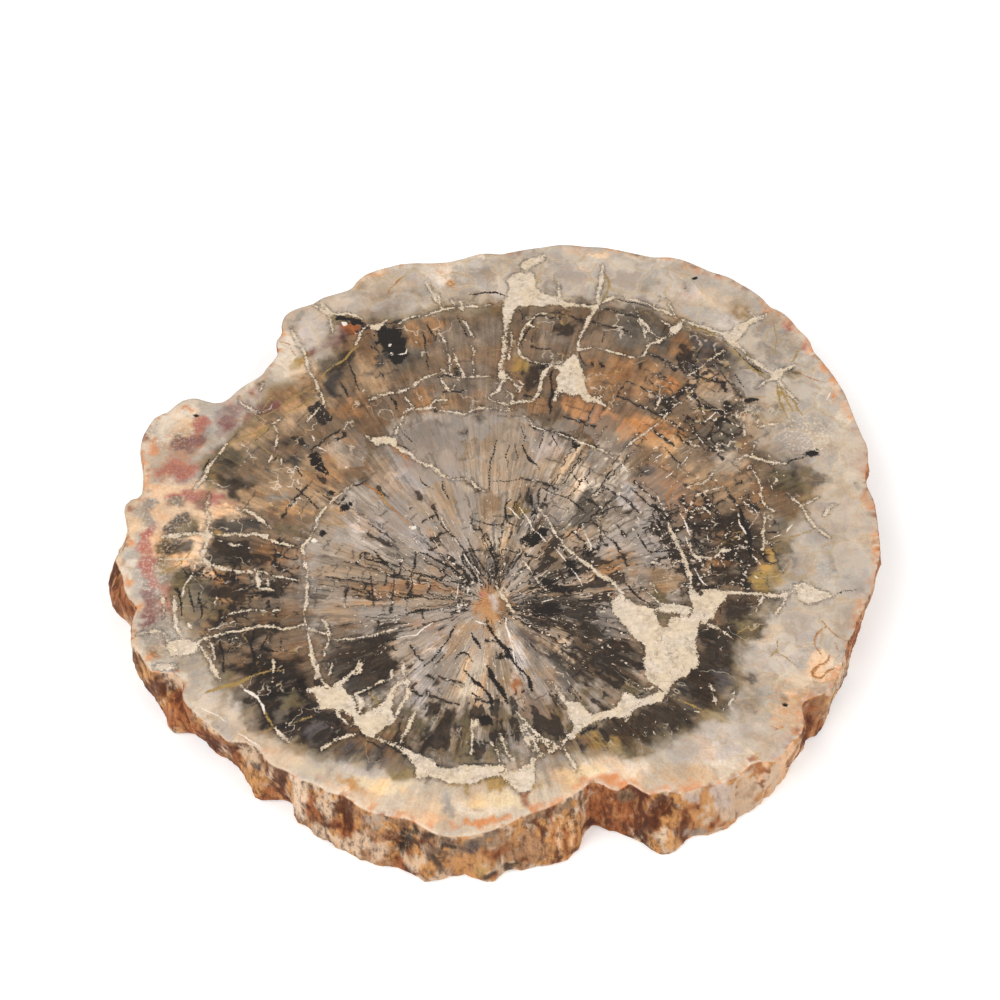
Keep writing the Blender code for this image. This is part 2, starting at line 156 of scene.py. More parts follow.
# Veins and cracks: half width, then the points along the line.
IVORY = (
    (0.45, -100.5, 9, -101, 3, -99.6, -2, -100.4, -8, -99.4, -12, -100.6, -18, -98, -24),
    (0.4, -115.5, -9.6, -108, -9, -101, -8.4), (0.45, -99.6, -8.6, -92, -9.2, -84, -8.6, -78, -9),
    (0.4, -115, -19, -107, -19.4, -100, -21, -92, -24, -82, -23.4),
    (0.45, -32.4, 43.7, -34.3, 40.5, -35.2, 38, -35.5, 35.5, -36.6, 33.7),
    (0.8, -34.9, 29, -31.9, 26.9, -29.6, 25.2, -27.2, 22.7, -24.3, 21.4, -20.8, 19.9, -19.6, 17.5, -17.8,
     15.5),
    (0.45, -17.8, 15.5, -15.5, 14.6, -13.1, 14.3, -10.8, 15.2, -8.4, 13.7, -6.6, 12.2, -4.9, 10.2, -2.5,
     9.4), (0.45, 15.1, 3.4, 16.3, 1.6, 18.1, -1.9, 19.8, -5.4, 21.6, -8.4, 23.4, -11.3, 25.7, -14.8),
    (0.85, 23.4, -11.3, 25.7, -14.8, 28.6, -17.8, 31, -20.1, 33.9, -22.5, 36.3, -24.8, 39.2, -27.8),
    (1.2, 37, -25.5, 39.2, -27.8, 41.6, -30.1, 43.4, -33.1, 44.5, -37.2),
    (0.4, 9.8, -19.5, 11.9, -22.5, 13.4, -25.4, 15.7, -28.9, 18.1, -31.9), (0.35, 5.1, -26.6, 9.2, -24.2),
    (1.0, 0.4, -27.8, 1.6, -31.9, 3.9, -35.4, 5.1, -38.4, 6.3, -41),
    (0.35, 10.1, 43.1, 12.8, 41.4, 13.9, 38.4, 18.6, 36.4, 22.2, 35.8, 24.5, 34.3, 27.5, 33.1, 30.4, 31.6,
     34.5, 29.3, 38.6, 27.5, 42.2, 24.6, 45.7, 22.2),
    (0.4, -62.3, 90.8, -61.1, 87.8, -60.8, 84.3, -60.5, 82),
    (0.5, -68.5, 96, -66.4, 94.9, -63.5, 92.5, -62.3, 90.2),
    (0.7, -66.4, 97.2, -63.5, 94.3, -60.5, 90.8, -55.2, 91.4, -51.7, 89.9, -50, 88.4),
    (0.5, -75.8, 84.3, -74.6, 80.2, -72.9, 76.6, -70.5, 72.5, -69.9, 69.6, -69.4, 65.5, -67, 61.4, -65.5,
     58.4, -64.1, 54.3, -61.7, 49.6, -61.1, 46), (0.4, -47, 86, -49.4, 83.1, -50.5, 79.6, -51.1, 76.1),
    (0.35, -84.6, 58.4, -85.2, 54.9), (0.5, -93.5, 50.8, -89.9, 46.6, -87, 44.3, -84, 44.9),
    (0.45, 24, 107.2, 24.2, 103.7, 24.5, 98.4), (0.9, 41.6, 116, 41, 111.4, 39.8, 104.3, 39.2, 96),
    (0.85, 38.6, 94.9, 36.3, 90.2, 34.5, 86.6, 32.2, 80.2, 31, 76.1, 30.4, 71.9),
    (0.4, 33.9, 53.1, 38.6, 49, 42.2, 46.1), (0.4, 36.9, 54.3, 36.3, 50.2), (0.35, 39.4, 53, 38, 50.6),
    (0.7, 12.8, 49.6, 15.1, 52.5, 16.9, 56.6, 18.1, 61.4, 19.2, 64.3, 21.6, 66.6),
    (0.35, 9.8, 80.2, 10.4, 83.1, 12.8, 87.2, 13.9, 89.6, 16.3, 91.9, 19.8, 91.4),
    (0.5, 13.4, 85.5, 16, 84.6),
    (0.3, 9.8, 80.2, 9.2, 75.5, 8.9, 71.4, 11, 70.2, 14.5, 67.8, 17.5, 67.2, 21.5, 67.2),
    (0.3, 6.6, 82, 6.9, 77.8, 5.7, 73.7, 5.1, 69.6),
    (0.3, -20.8, 82.5, -19, 79, -17.8, 74.9, -16.6, 70.2, -16.4, 63.7),
    (0.25, -15.5, 74.3, -14.3, 70.2, -12.5, 65.5, -11.4, 62.5),
    (0.4, -11.4, 87.8, -9.6, 84.9, -8.4, 82, -7.8, 80.2),
    (0.25, -8.4, 76.6, -7.2, 74.3, -7.8, 70.2, -7.8, 63.7),
    (0.35, -19.6, 64.3, -16.6, 61.9, -13.1, 60.8, -8.4, 61.4, -3.7, 61.4, 1.6, 60.5),
    (0.5, -46, 50.2, -42.5, 51.9, -38.4, 53.1, -34.3, 54.3, -30.2, 56, -27.8, 59, -24.3, 61.4, -20.2,
     62.5), (0.4, -32.5, 51.9, -30.8, 49, -28.4, 46),
    (0.5, -19.6, 61.4, -18.4, 57.8, -17.2, 54.9, -14.9, 54.6, -15.2, 57.2),
    (0.4, -25.5, 90.2, -22.5, 91.9, -19, 93.7, -15.5, 94.3, -10.8, 94.6, -5.5, 95.2, -1.4, 95.5),
    (0.35, -25.5, 90.2, -30.2, 90.2, -33.7, 87.8, -35.5, 86), (0.5, -14, 97.8, -12.5, 96.6, -11.9, 92.5),
    (0.4, -16.6, 98.4, -14.9, 95.5), (0.4, -21.9, 101.4, -20.8, 97.2, -19.6, 93.4),
    (0.6, -25.5, 107.2, -24.3, 103.1, -22.5, 97.8),
    (0.45, -1, 50, -2.5, 52.5, 1, 53.7, 1.6, 57.2, 3.4, 60.8),
    (0.45, 0.4, 49.6, 2.8, 48.4, 6.9, 48.4, 9.2, 49.6, 12.8, 49.6),
    (0.3, 5.7, 60.2, 8.1, 57.2, 9.8, 54.3), (0.4, 5.1, 54.9, 6.9, 51.3, 5.7, 49),
    (0.3, 8.8, 60, 11, 57, 8.6, 53),
    (0.4, -34, 42, -32, 45.5, -29, 46.6, -26, 45.5, -23.7, 47.2, -20.2, 45.5, -15.5, 44.9, -11.4, 43.7,
     -8.4, 44.9, -6, 46, -1.4, 46.6, 2.8, 45.5, 5.7, 45.5, 7.5, 46.6),
    (0.25, -23.7, 47.2, -21.4, 50.2, -16.6, 50.2),
    (0.35, 30.6, 72.8, 32.2, 74.3, 36.3, 74.9, 39.2, 74.3, 42.2, 73.4, 47.4, 71.4),
    (0.55, 38.9, 95.4, 45, 99.9, 49.7, 98.4, 53.8, 97.8, 58.5, 96.1, 62, 93.7, 65.6, 91.4, 68.5, 89.6),
    (0.45, 47.4, 71.4, 50.9, 70.2, 53.8, 70.2, 56.2, 72.5, 57.9, 76.1),
    (0.8, 57.4, 76, 59.1, 77.2, 62, 78.4, 64.4, 80.2, 67.9, 82.5, 70.3, 84.9),
    (0.5, 62.6, 88.4, 64.4, 86.6, 66.2, 85.5), (0.4, 55.6, 88.4, 57.4, 84.3, 59.7, 80.8, 62.6, 79.6),
    (0.3, 52, 96, 54, 92, 55, 88), (0.3, 53.8, 87.8, 55.6, 83.7, 56.8, 79.6),
    (0.5, 70.3, 89, 73.2, 86.6, 77.9, 84.9, 82.6, 82.5, 86.2, 80.8), (0.4, 95.6, 92, 98, 89.6),
    (0.8, 89.7, 77.2, 92.1, 73.7, 95, 70.2, 97.9, 66.6, 100.9, 63.7, 103.8, 61.9),
    (0.8, 103.8, 62, 106.2, 63.7, 109.1, 66.1, 111.5, 66.6),
    (0.5, 105, 59.6, 105.6, 56.6, 107.9, 53.1, 110.3, 49.6), (0.5, 103.8, 60.8, 99.1, 58.4, 95.6, 55.5),
    (0.35, 85.6, 73.1, 82.6, 71.4, 79.7, 69, 76.2, 65.5, 72.6, 62.5, 70.3, 60.2),
    (0.5, 70.3, 56.1, 70.6, 53.1, 71.5, 50.8), (0.4, 62.6, 53.1, 60.3, 49.6, 58.5, 45.5),
    (0.5, 65, 98.4, 66.2, 95.5, 67.9, 91.4), (0.4, 62, 99, 60.3, 95.5),
    (0.5, -95.8, 30.5, -98.8, 25.8, -101.1, 21.6, -102.9, 16.9, -104.1, 13.4, -105.8, 9.9),
    (0.5, -80.5, 39.3, -78.2, 36.9, -77.6, 33.4, -78.2, 29.9, -79.6, 26.3),
    (0.8, -79.6, 26.3, -80.5, 22.2), (0.6, -77.5, 42, -80, 39.3), (0.6, -76.4, 24, -76.1, 19.9),
    (0.6, -62.9, 48, -62.9, 47.2, -64.6, 44.9, -67.5, 40.5),
    (0.55, -50, 12.8, -53.5, 8.7, -56.4, 5.8, -58.8, 2.8, -60.5, 0.5, -62, -2.5, -62.9, -6, -63.2, -9),
    (0.6, -63.2, -9, -65.2, -11.9, -66.1, -14.2, -65.5, -19.5, -64.1, -23.1, -64.1, -27.2, -63.8, -31.3,
     -64.1, -35.4, -64.1, -40.7, -63.5, -46.5), (0.9, -90, 1.6, -85.2, 0.5, -81.1, -2.5, -77.6, -6),
    (0.9, -81.7, -8.9, -78.2, -10.7, -74.6, -12.5, -69.4, -13.7),
    (0.35, -95.8, -11.3, -91.1, -12.8, -87, -14.2),
    (0.45, -115.2, -10.1, -110.5, -10.4, -107, -9.2, -104, -8.4, -100.5, -9.2, -97, -9.5),
    (0.5, -98.2, -7.2, -99.4, -12.5, -100.5, -17.8, -99.9, -20.7, -94.6, -22.5, -88.2, -24.2, -81.1,
     -24.5), (0.5, -81.1, -24.5, -75.2, -26, -66.4, -27.8),
    (0.4, -102.9, -21.3, -103.5, -25.4, -105.2, -29.5, -105.8, -34.8),
    (0.8, -108.8, -34.2, -108.2, -38.4, -107.6, -43, -107, -46.5, -104.6, -50),
    (0.5, -112.9, -34.2, -111.7, -38.4, -111.7, -43), (0.5, -81.1, -24.8, -80.5, -30.7, -75.2, -31.9),
    (0.35, -77.6, -24.8, -77, -30.7), (0.3, -94.6, -34.2, -94.4, -39.5),
    (0.4, -91.1, -43, -88.8, -41.3, -84.1, -39.8, -78.2, -40.1, -72.3, -39.5),
    (0.6, -120, -49.2, -115.8, -48.3, -111.7, -47.7, -110, -50, -109.4, -52.4),
    (0.9, -99.4, -53, -96.4, -56.5, -94.6, -60, -92.3, -63.6, -90.5, -67.7),
    (0.5, -96, -50.6, -94, -54.8, -92.9, -58.9),
    (0.6, -96.4, -47.7, -93.5, -46.5, -90.5, -44.8, -87.6, -44.2),
    (0.7, -73.5, -59.5, -73.2, -63, -72.9, -67.7),
    (0.8, -63.5, -46.5, -62.3, -51.8, -60.5, -57.1, -59.9, -60.6, -58.2, -65.4, -55.8, -68.9, -53.5,
     -71.2), (0.6, -58.8, -59.5, -58.2, -63, -59.4, -66.5),
    (0.6, -65.2, -45.9, -67.6, -47.4, -72.9, -47.1, -78.2, -46.5, -81.1, -46.8, -89, -48.5, -99, -52),
    (0.45, -63.5, -47.1, -60.5, -48.6, -56.4, -48.9, -54.6, -51.2, -51.7, -51.8, -48.8, -51.2, -45.8,
     -50.6, -40.2, -49.5, -35.5, -47.7, -32.5, -47.1),
    (0.6, -58.2, -43.6, -56.4, -46.5, -55.2, -49.5, -55.2, -53.6, -56.4, -57.7),
    (0.8, -54, -61.2, -54.4, -64.8), (0.8, -45.8, -63, -48.8, -66.5, -51.7, -68.9, -54, -70.6),
    (0.5, -51.7, -78.3, -49.4, -81.8, -46.4, -84.2),
    (0.5, -55.8, -93.6, -52.9, -90.6, -50, -88.9, -45.2, -87.1),
    (0.5, -71.1, -85.4, -68.8, -87.7, -65.8, -90.6),
    (0.6, -30.5, -60, -29.5, -65, -28.5, -69, -28, -72, -30, -76.5, -32, -80),
    (0.6, -28, -67, -31, -68.5, -33.5, -71, -35, -74, -37, -78, -40, -81),
    (0.7, -25.5, -78.9, -27.2, -83, -29, -87.1, -30.8, -91.2),
    (1.2, -46, -72.4, -43.9, -75, -44.5, -79.5), (0.5, -7.2, -81.8, -6.9, -87.7, -7.2, -94.8),
    (0.5, -0.8, -90, 1, -93, 2.2, -97.7), (0.5, 2.2, -86.5, 3.9, -91.2, 5.1, -94.8, 6.9, -96),
    (0.45, 6.9, -78.3, 9.2, -81.2, 11.6, -83.6, 14.5, -86.5, 17.5, -89.5, 20.4, -91.2),
    (0.4, 10.4, -83.6, 12.2, -87.7, 13.9, -91.8, 15.7, -94.8),
    (0.3, 12.8, -85.3, 15.7, -89.5, 18.1, -92.4), (0.3, 8.6, -83.6, 10.4, -88.9, 12.8, -93.6),
    (0.5, 22.8, -92.4, 25.1, -97.1, 26.9, -100.1),
    (0.9, 71.5, -31.9, 80.3, -33.1, 88.5, -33.1, 97.9, -34.2, 101.5, -33.1, 103.8, -31.3),
    (0.6, 99.7, -34.8, 97.4, -38.4, 95, -41.3), (0.4, 92, -34.2, 90.3, -37.2, 88.5, -40.7),
    (0.8, 60.9, -4.2, 62, -8.9, 63.8, -14.2, 65.6, -19.5, 67.4, -26, 67.6, -30.1),
    (0.5, 53.8, -20.7, 57.9, -21, 62.6, -20.7, 65, -20.4),
    (0.4, 70.3, -17.8, 74.4, -18.4, 77.9, -17.8, 78.8, -15.4, 82.6, -14.8, 86.8, -13.9, 89.7, -14.8),
    (0.35, 78.5, -17.8, 79.7, -21.9), (0.5, 67.9, -12.5, 68.5, -17.2, 70.9, -19.5, 73.8, -25.4),
    (0.8, 95, -1.9, 93.8, -6.6, 93.8, -12.5, 93.2, -15.4),
    (0.7, 91.5, 20.5, 93.2, 15.8, 94.4, 11, 93.8, 7.5, 95.6, 3.4, 97.9, 0.5),
    (0.5, 86.2, 23.4, 91.5, 24.9, 95.6, 23.4, 100.3, 21.9, 103.8, 21.4), (0.4, 92.6, 24.9, 93.2, 29.3),
    (0.5, 103.8, 8.7, 106.8, 5.2, 108.5, 2.8), (0.6, 107.9, 2.8, 111.5, 5.2, 114.4, 6.9),
    (0.5, 108.5, 2.8, 109.7, -1.9, 112, -6, 116.8, -10.1), (0.6, 119.7, 4, 115.6, -0.7),
    (0.5, 70.3, -44.2, 74.4, -46.5, 77.9, -48.9, 80.9, -52.1),
    (0.45, 71.5, -68.3, 72.4, -72.4, 73.2, -76.5), (0.5, 80.3, -70, 79.1, -73.6, 76.8, -76.5, 75, -78.9),
    (0.5, 46.2, -67.7, 48.5, -70, 51.5, -70, 54.4, -68.9), (0.5, 70.3, 12, 74.4, 13.4, 78, 17.5),
    (0.4, 70.8, 7.5, 76, 10, 82, 11.2), (0.5, 68.5, 0.5, 73.2, 2.8, 75.6, 0.5), (0.5, 53.2, -29, 56, -33),
    (0.3, 52, -32.5, 55, -35.4, 57.4, -37.8), (0.4, 90.3, 39.3, 90.3, 33.4),
    (0.4, 95.5, 41.6, 94.9, 38, 99.5, 38.8, 103.5, 39.6),
    (0.35, 47.4, 29.3, 51.5, 32.8, 56.2, 36.9, 60.3, 40.5, 63.2, 44),
    (0.3, -46, -72.4, -40.2, -69.5, -34.9, -67.1),
)
WHITE = (
    (0.35, 5.1, 2.8, 7.2, 0.2, 8.9, -2.5),
    (0.35, 9.2, 2.2, 11.3, -1.3, 13.1, -6, 15.7, -8.9, 18.1, -11.6),
    (0.35, 20.4, -13.9, 22.8, -17.2, 25.1, -20.1), (0.3, 26.5, -22.8, 28.3, -26, 30, -30),
    (0.35, -18.5, -2, -16.5, -6), (0.3, -14, -10, -12, -13.2), (0.3, -10.4, -17, -8.2, -20.8),
    (0.3, -7, -22, -5, -25), (0.4, -9.2, -30.8, -8.5, -34), (0.25, -12.2, -29.5, -12.4, -35),
    (0.25, -12.4, -36.5, -12.5, -41), (0.5, 85.6, -3.1, 86.2, -6), (0.8, 86.2, -5.4, 87.4, -8.4),
    (0.6, 89.7, -17.8, 91.5, -21.3), (0.4, 69.1, -22.8, 70.9, -27.8, 72.9, -30),
    (0.45, 66.9, -9.6, 67.4, -13.4), (0.35, 65, -0.1, 66.8, -4.2, 68.5, -8.9),
    (0.7, 103.8, -4.8, 102, -7.8), (0.4, 96.2, -10.7, 99.7, -8.9), (0.4, 123.2, 53.7, 121.5, 50.2),
    (0.3, 57.4, 23.4, 60.3, 25.8), (0.3, 66.2, 21, 69.1, 24.6), (0.35, 73.8, 33.4, 75.3, 30.5),
    (0.3, 31.6, -8.4, 33.4, -11.9, 33.9, -15.4, 33.1, -16), (0.5, -6, -44.2, -2.5, -45.4),
    (0.45, 4.2, -43, 4.5, -46.5, 5.7, -52.4), (0.35, 6, -54, 7.2, -60),
    (0.3, -32.5, -51.2, -29, -50, -25.5, -49.5, -23.7, -47.1, -20.8, -44.8),
    (0.9, -82.3, -70.6, -78.8, -72.4, -77, -74.2), (0.8, -77.4, -73.8, -75.8, -77.1, -74.9, -80),
    (0.28, -95.8, -77.7, -90, -80.6, -87.4, -82.4), (0.25, -83, -87.3, -79, -90, -76, -93),
    # The first line here is a painted glint: a highlight on the glossy black pocket.
    (0.5, -32.6, 74.2, -32.5, 72.2, -35, 71.3), (0.35, 50.4, -1.4, 51, -3.2), (0.3, 90.9, 1.9, 92.1, 0.2),
    (0.35, -63.2, 29, -60.3, 27.2), (0.5, -65.5, 34.4, -64.5, 31.8), (0.3, -52.9, 40.6, -54, 37),
    (0.5, 57.4, 7.8, 58.6, 5.2), (0.3, 61, 15.4, 63.8, 18), (0.3, 16.3, -36.6, 20, -35.4),
    (0.35, 74.5, -12.1, 74, -9.4), (0.3, 45.2, 22.6, 47.6, 18.2), (0.3, 75.9, 40, 80.6, 44.4),
)
BLACK = (
    (0.5, -34, 29.8, -32, 28.8, -30.5, 26.6), (0.35, 17.8, 35.6, 17.4, 32.8, 16, 29.2),
    (0.4, 20.5, 36, 21.4, 33, 23.4, 28), (0.7, 9.8, 29.6, 11.3, 25.8, 13.9, 21.6, 16.3, 18.1),
    (0.3, -33.4, 35.5, -30.8, 33.4, -29, 30.8), (0.35, -27, 15.4, -24.9, 12.2, -21.6, 10.5),
    (0.4, -18.7, 14, -17.8, 9.3, -16.1, 6.4),
    (0.25, -1.6, 9.9, -1.9, 17.5, -1.4, 23.4, 0.4, 28.7, 1, 32.2), (0.2, 5.1, 29.9, 4.5, 24.6, 4.8, 19.3),
    (0.2, 7.2, 29.9, 8.4, 24), (0.25, 0.4, 13.4, 5.1, 14.3, 9.2, 15),
    (0.45, 5.7, 6.4, 3.9, 4, 3.9, 0.5, 4.2, -2.5, 6.9, -4.8, 9.8, -6),
    (0.35, 4, -5, -1.2, -4.6, -5, -3.4, -7, -2.4),
    (0.35, 16.9, 11, 19.2, 9.3, 23.4, 7.5, 27.5, 5.8, 29.8, 2.8, 32.2, -0.7),
    (0.3, 19.2, 11, 21, 14.6, 22.5, 15.8), (0.55, 15.8, 10.6, 15.2, 6.9, 15.6, 3.4),
    (0.4, 26.9, 18.7, 28.6, 16.4, 30.4, 13.4), (0.35, 34.5, 19.3, 32.8, 16.4, 30.4, 12.2, 26.9, 8.1),
    (0.35, 32.8, 14.6, 34.5, 11, 36.3, 9.3, 39.2, 9.9), (0.3, 39.2, 9.9, 36.3, 7.5, 32.2, 5.8, 29.8, 4),
    (0.5, 41.9, 19.3, 40.1, 16.4, 38.6, 13.4), (0.35, 32.2, 24.6, 29.8, 21.6, 28.6, 18.7),
    (0.3, 35.1, -0.7, 38.6, 0.5, 42.2, 2.8, 45.7, 3.4), (0.3, 33.9, -4.8, 36.3, -3.1, 39.8, -0.1),
    (0.35, 36.9, -4.2, 37.2, -7.2, 37.8, -11.3), (0.35, 39.2, -9.5, 42.2, -12.5, 43.9, -15.4),
    (0.4, -5.5, -4.8, -3.7, -8.9, -2.5, -13.7), (0.9, -2.5, -13.7, -0.8, -17.8, 1, -22.5, 0.4, -27.2),
    (0.4, -9, -10.7, -7.8, -14.8, -5.5, -18.9, -3.1, -23.6, -0.8, -26.6),
    (0.6, -10.8, -16, -10.8, -20.7, -8.4, -23.1, -6, -27.2), (0.4, -2.5, -8.9, -0.8, -13.1, 0.4, -17.2),
    (0.45, -21.4, 2.2, -20.2, -0.1, -17.8, -5.4, -15.5, -8.9, -13.1, -10.7, -10.8, -14.2, -9.6, -17.2,
     -7.2, -21.3, -4.9, -24.8, -2.5, -27.2),
    (0.5, -26.6, -16.6, -22.5, -17.8, -19, -20.1, -14.9, -23.1, -10.8, -26, -8.4, -28.4),
    (0.55, -27.5, -16, -26.9, -19.5, -27.8, -24.8),
    (0.35, -27.8, -24.8, -28.4, -29.5, -29, -34.2, -29.6, -40),
    (0.45, -46, -17.8, -41.4, -20.1, -36.6, -21.9, -33.7, -24.2, -34.3, -26, -29, -26.3, -26, -24.8,
     -20.8, -26.6, -16.6, -28.4, -11.9, -29.2, -8.4, -28.9),
    (0.65, -41.4, -15.4, -39.6, -18.4, -37.2, -21.3, -34.9, -23.6),
    (0.45, -42.5, -24.8, -41.6, -28.4, -41.4, -32.5, -40.8, -38.4),
    (0.35, -51, -26.9, -46, -26.9, -42, -27.6), (0.4, -50, -30.8, -46, -32.5, -42.5, -33.1, -40.8, -34.8),
    (0.4, -34.3, -26, -34.6, -30.1, -34.3, -34.2, -30.2, -34.5, -26, -34.2, -19.6, -35.4, -13.1, -35.1,
     -8.4, -36.6), (0.7, -29.6, -41.3, -24.9, -40.4, -19.6, -39.5), (1.2, -8.8, -28.4, -10, -30.4),
    (0.8, -7.2, -27, -6, -29), (0.4, -53.5, 67.8, -52.3, 63.1, -51.1, 59, -49.4, 54.9),
    (0.5, -56.4, 58.4, -55.2, 55.5, -53.5, 51.9),
    (0.6, 18.6, 91.4, 15.1, 90.8, 13.4, 88.4, 14.5, 86.6, 12.8, 83.7, 11, 80.8, 10.1, 77.2, 11, 74.3),
    (0.25, 18.6, 91.4, 24.5, 91.9, 29.2, 90.8, 32.2, 86.6), (0.4, 9.2, 93.7, 10.4, 91.4, 10.4, 86.6),
    (0.8, 21.6, 64.3, 20.4, 60.8, 21, 57.2, 21.6, 53.1, 20.4, 49.6, 19.8, 44.3),
    (0.4, 31, 72.5, 31.6, 69.6, 33.9, 66.6), (0.45, -25.2, 86, -23.7, 82.5, -21.9, 78.4),
    (0.35, -22.5, 78.4, -21.4, 83), (0.4, -26.9, 82, -26.1, 77.2, -25.2, 71.9, -24, 64.3),
    (0.45, -13.7, 90.2, -11.9, 85.5, -9.6, 80.2), (0.4, -42.5, 63.7, -40.2, 59.6),
    (0.8, -36.6, 50.2, -35.5, 46.6, -34.3, 44.9), (0.5, -38.4, 52.5, -36.6, 48.5),
    (0.5, -9.6, 100.2, -4.9, 101.9, -0.2, 102.2, 4.5, 100.8), (0.3, 41, 82.5, 39.8, 77.2),
    (0.5, 46, 98.6, 50, 97.2, 54, 96.4, 59, 94.6), (0.5, -46, 76, -42.5, 72.5),
    (0.4, 82.6, 64.3, 85.6, 59.6, 87.4, 56.6), (0.4, 88.5, 62.5, 90.3, 58.4, 91.4, 56.2),
    (0.4, 89, 74.5, 92, 70, 95.4, 66, 99, 62.4), (0.7, -101.7, 24, -103.5, 18.5),
    (0.8, -69.9, 19.3, -68.2, 16.4), (0.35, -71, 12, -65, 5, -60.5, 1),
    (0.45, -100.5, -21.8, -99.4, -26.7, -95.8, -27.3, -93.5, -28.5),
    (0.5, -95.2, -30.2, -93.8, -35.5, -91.7, -37.3), (0.6, -97, -22.3, -94, -25.8, -90, -26.4, -87, -30),
    (0.4, -90, -23, -88.4, -28), (0.4, -107.6, -30.8, -105.2, -42), (0.4, -104, -29.7, -101.7, -40),
    (0.5, -100.5, -32, -98.8, -43), (0.5, -108.8, -31, -107, -33.5, -104.6, -33),
    (0.7, 48.5, 11, 50.9, 7.5, 54.4, 4.6, 57.4, 1.6, 59.7, -1.3, 62, -4.2),
    (0.5, 53.8, -16, 59.1, -15.4, 62.6, -15.1), (0.4, 53.6, -3.5, 57.2, -3.8, 59.6, -8.4),
    (0.5, 50, -8, 51.5, -12, 54.5, -17), (1.2, 86.5, 1.5, 87.4, -5, 88.6, -10.9, 88.6, -18.4),
    (0.5, 69.5, -4, 70, -12, 72.5, -17), (0.6, 70, -5, 78, -5.6),
    (0.4, 61.5, 28.7, 63.8, 24.6, 65.6, 22.2), (0.3, 70.3, 26.3, 68.5, 23.4, 65.6, 20.5),
    (0.6, 103.8, 20.5, 107.4, 23.4, 111.5, 25.2), (0.3, 116.8, -33.1, 119.7, -31.6, 123.8, -31.6),
    (0.8, 45, -29, 48.5, -34.2, 53.2, -37.8, 56.8, -38.4), (0.8, 65.5, -19, 67, -23.8, 68.3, -28.6),
    (0.7, -81.1, -46.5, -80.8, -51.8, -81.7, -54.2, -79.9, -57.7, -78.8, -62.4),
    (0.8, -75.8, -49.5, -76.4, -52.4, -78.2, -54.2, -74.6, -55.4, -71.7, -56),
    (0.5, -76.4, -59.5, -72.3, -60, -68.8, -60), (0.4, -71, -50, -71.1, -56),
    (0.6, -92, -52, -90, -58, -89.5, -64),
    (1.0, -2.5, -45.3, 0.4, -49.5, 2.8, -53.6, 5.7, -57.7, 8.1, -62.4, 11.6, -66.5, 12.8, -71.2),
    (0.8, -7.8, -48.9, -6.4, -51.6, -4.4, -55), (0.6, -13, -58.6, -10.6, -56.2, -8.8, -57, -6.8, -60),
    (0.9, -10.4, -62.8, -6, -67.7, -2.5, -71.2), (1.3, -4, -69.8, -2.2, -71.8, -0.8, -74.8, -0.2, -78.9),
    (1.2, -2.2, -61.2, -0.2, -65.4, 1, -68.9, 3.4, -72.4, 5.1, -75.4),
    (0.6, -7.5, -71.5, -4.9, -74.2, -2.5, -75.9),
    (0.5, -13.1, -45.9, -14.9, -49.5, -16.1, -53, -18.4, -55.9, -20.8, -58.9, -23.1, -61.8),
    (0.6, -46, -72.9, -40.2, -70.2, -34.9, -67.8),
    (0.4, -42.5, -56.5, -39.6, -54.2, -34.3, -51.8, -29.6, -50), (0.5, 50.3, -52.4, 53.8, -53.3),
    (0.5, 58.3, -56, 59, -60), (0.4, 10, 38, 11.4, 33.6, 10.4, 31),
)
GOLD = (
    (0.55, -49.9, 76.1, -53.5, 72.5, -55.8, 69, -59.4, 65.5, -62.3, 62.5, -64.1, 59.6),
    (0.5, -67.3, 56.1, -72.3, 52.5, -75.8, 48.4, -79.9, 44.9, -84.1, 42.5),
    (0.4, -64.6, 52.5, -67.6, 49.6, -72.3, 46.6, -77, 43.7), (0.5, -80.5, 52.5, -82.9, 48.4, -85.2, 44.9),
    (0.5, -79.9, 39.3, -84, 36.9, -88.8, 34.6, -93.5, 31.6, -96.4, 29.3, -100.5, 24.6),
    (0.4, -81.7, 38.1, -85.2, 34, -87.6, 31), (0.35, -85.8, 31, -82.3, 28.1, -78.8, 25.2, -75.8, 23.4),
    (0.5, -104, -14, -106, -18.4, -108.2, -21.3), (0.5, -114.6, -26, -112.3, -23.6, -107.6, -21.3),
    (1.3, -94.6, -71.8, -90, -70, -85.2, -68.3, -80.5, -66), (0.5, -80.5, -66, -75.2, -64.2, -69.4, -63),
    (0.8, -74.9, -79.6, -72.9, -83.6, -71.7, -85.3), (0.5, -71.7, -85.3, -75, -86.5, -77, -87.7),
    (0.35, -65.8, -83, -62.3, -81.8, -58.2, -80), (0.7, 41.8, 112, 43.5, 107, 43, 103, 41, 97),
    (0.7, 74, 85.2, 79.5, 82.8, 84.5, 79.6),
    (0.6, 87.9, 74.3, 90.9, 70.2, 94.4, 65.5, 97.9, 62.5, 100.9, 60.8),
    (0.6, 109.7, 67.8, 111.5, 70.2, 113.2, 73.7), (0.3, 104.7, 87.8, 105, 82, 105, 76.1, 104.4, 71.4),
    (0.4, 95, -51.8, 94.4, -55.9, 92, -58.3), (0.3, 94.4, -56.5, 97.9, -58.9, 100.3, -62.4),
    (0.4, 82, -49.5, 83.8, -47.7, 87.9, -47.1), (0.4, 57.9, -73, 62, -74.8, 65.6, -76.5, 69.1, -78.9),
    (0.5, 108.8, 45, 106.8, 50, 104.6, 56), (0.5, 112, 43, 110, 48, 106.2, 56.5),
    (0.5, 106, 42.5, 104.5, 49, 103.4, 57), (0.4, 30, -87, 33, -90, 37, -92),
    (0.4, 100.9, -10.9, 106.2, -9.1, 109.7, -7.6, 112.6, -6), (0.5, -40.6, 9.5, -38.4, 6.4, -35.6, 2.8),
    (0.35, -42, -71, -38, -76, -36, -82), (0.35, 23, 111, 22.8, 106),
)
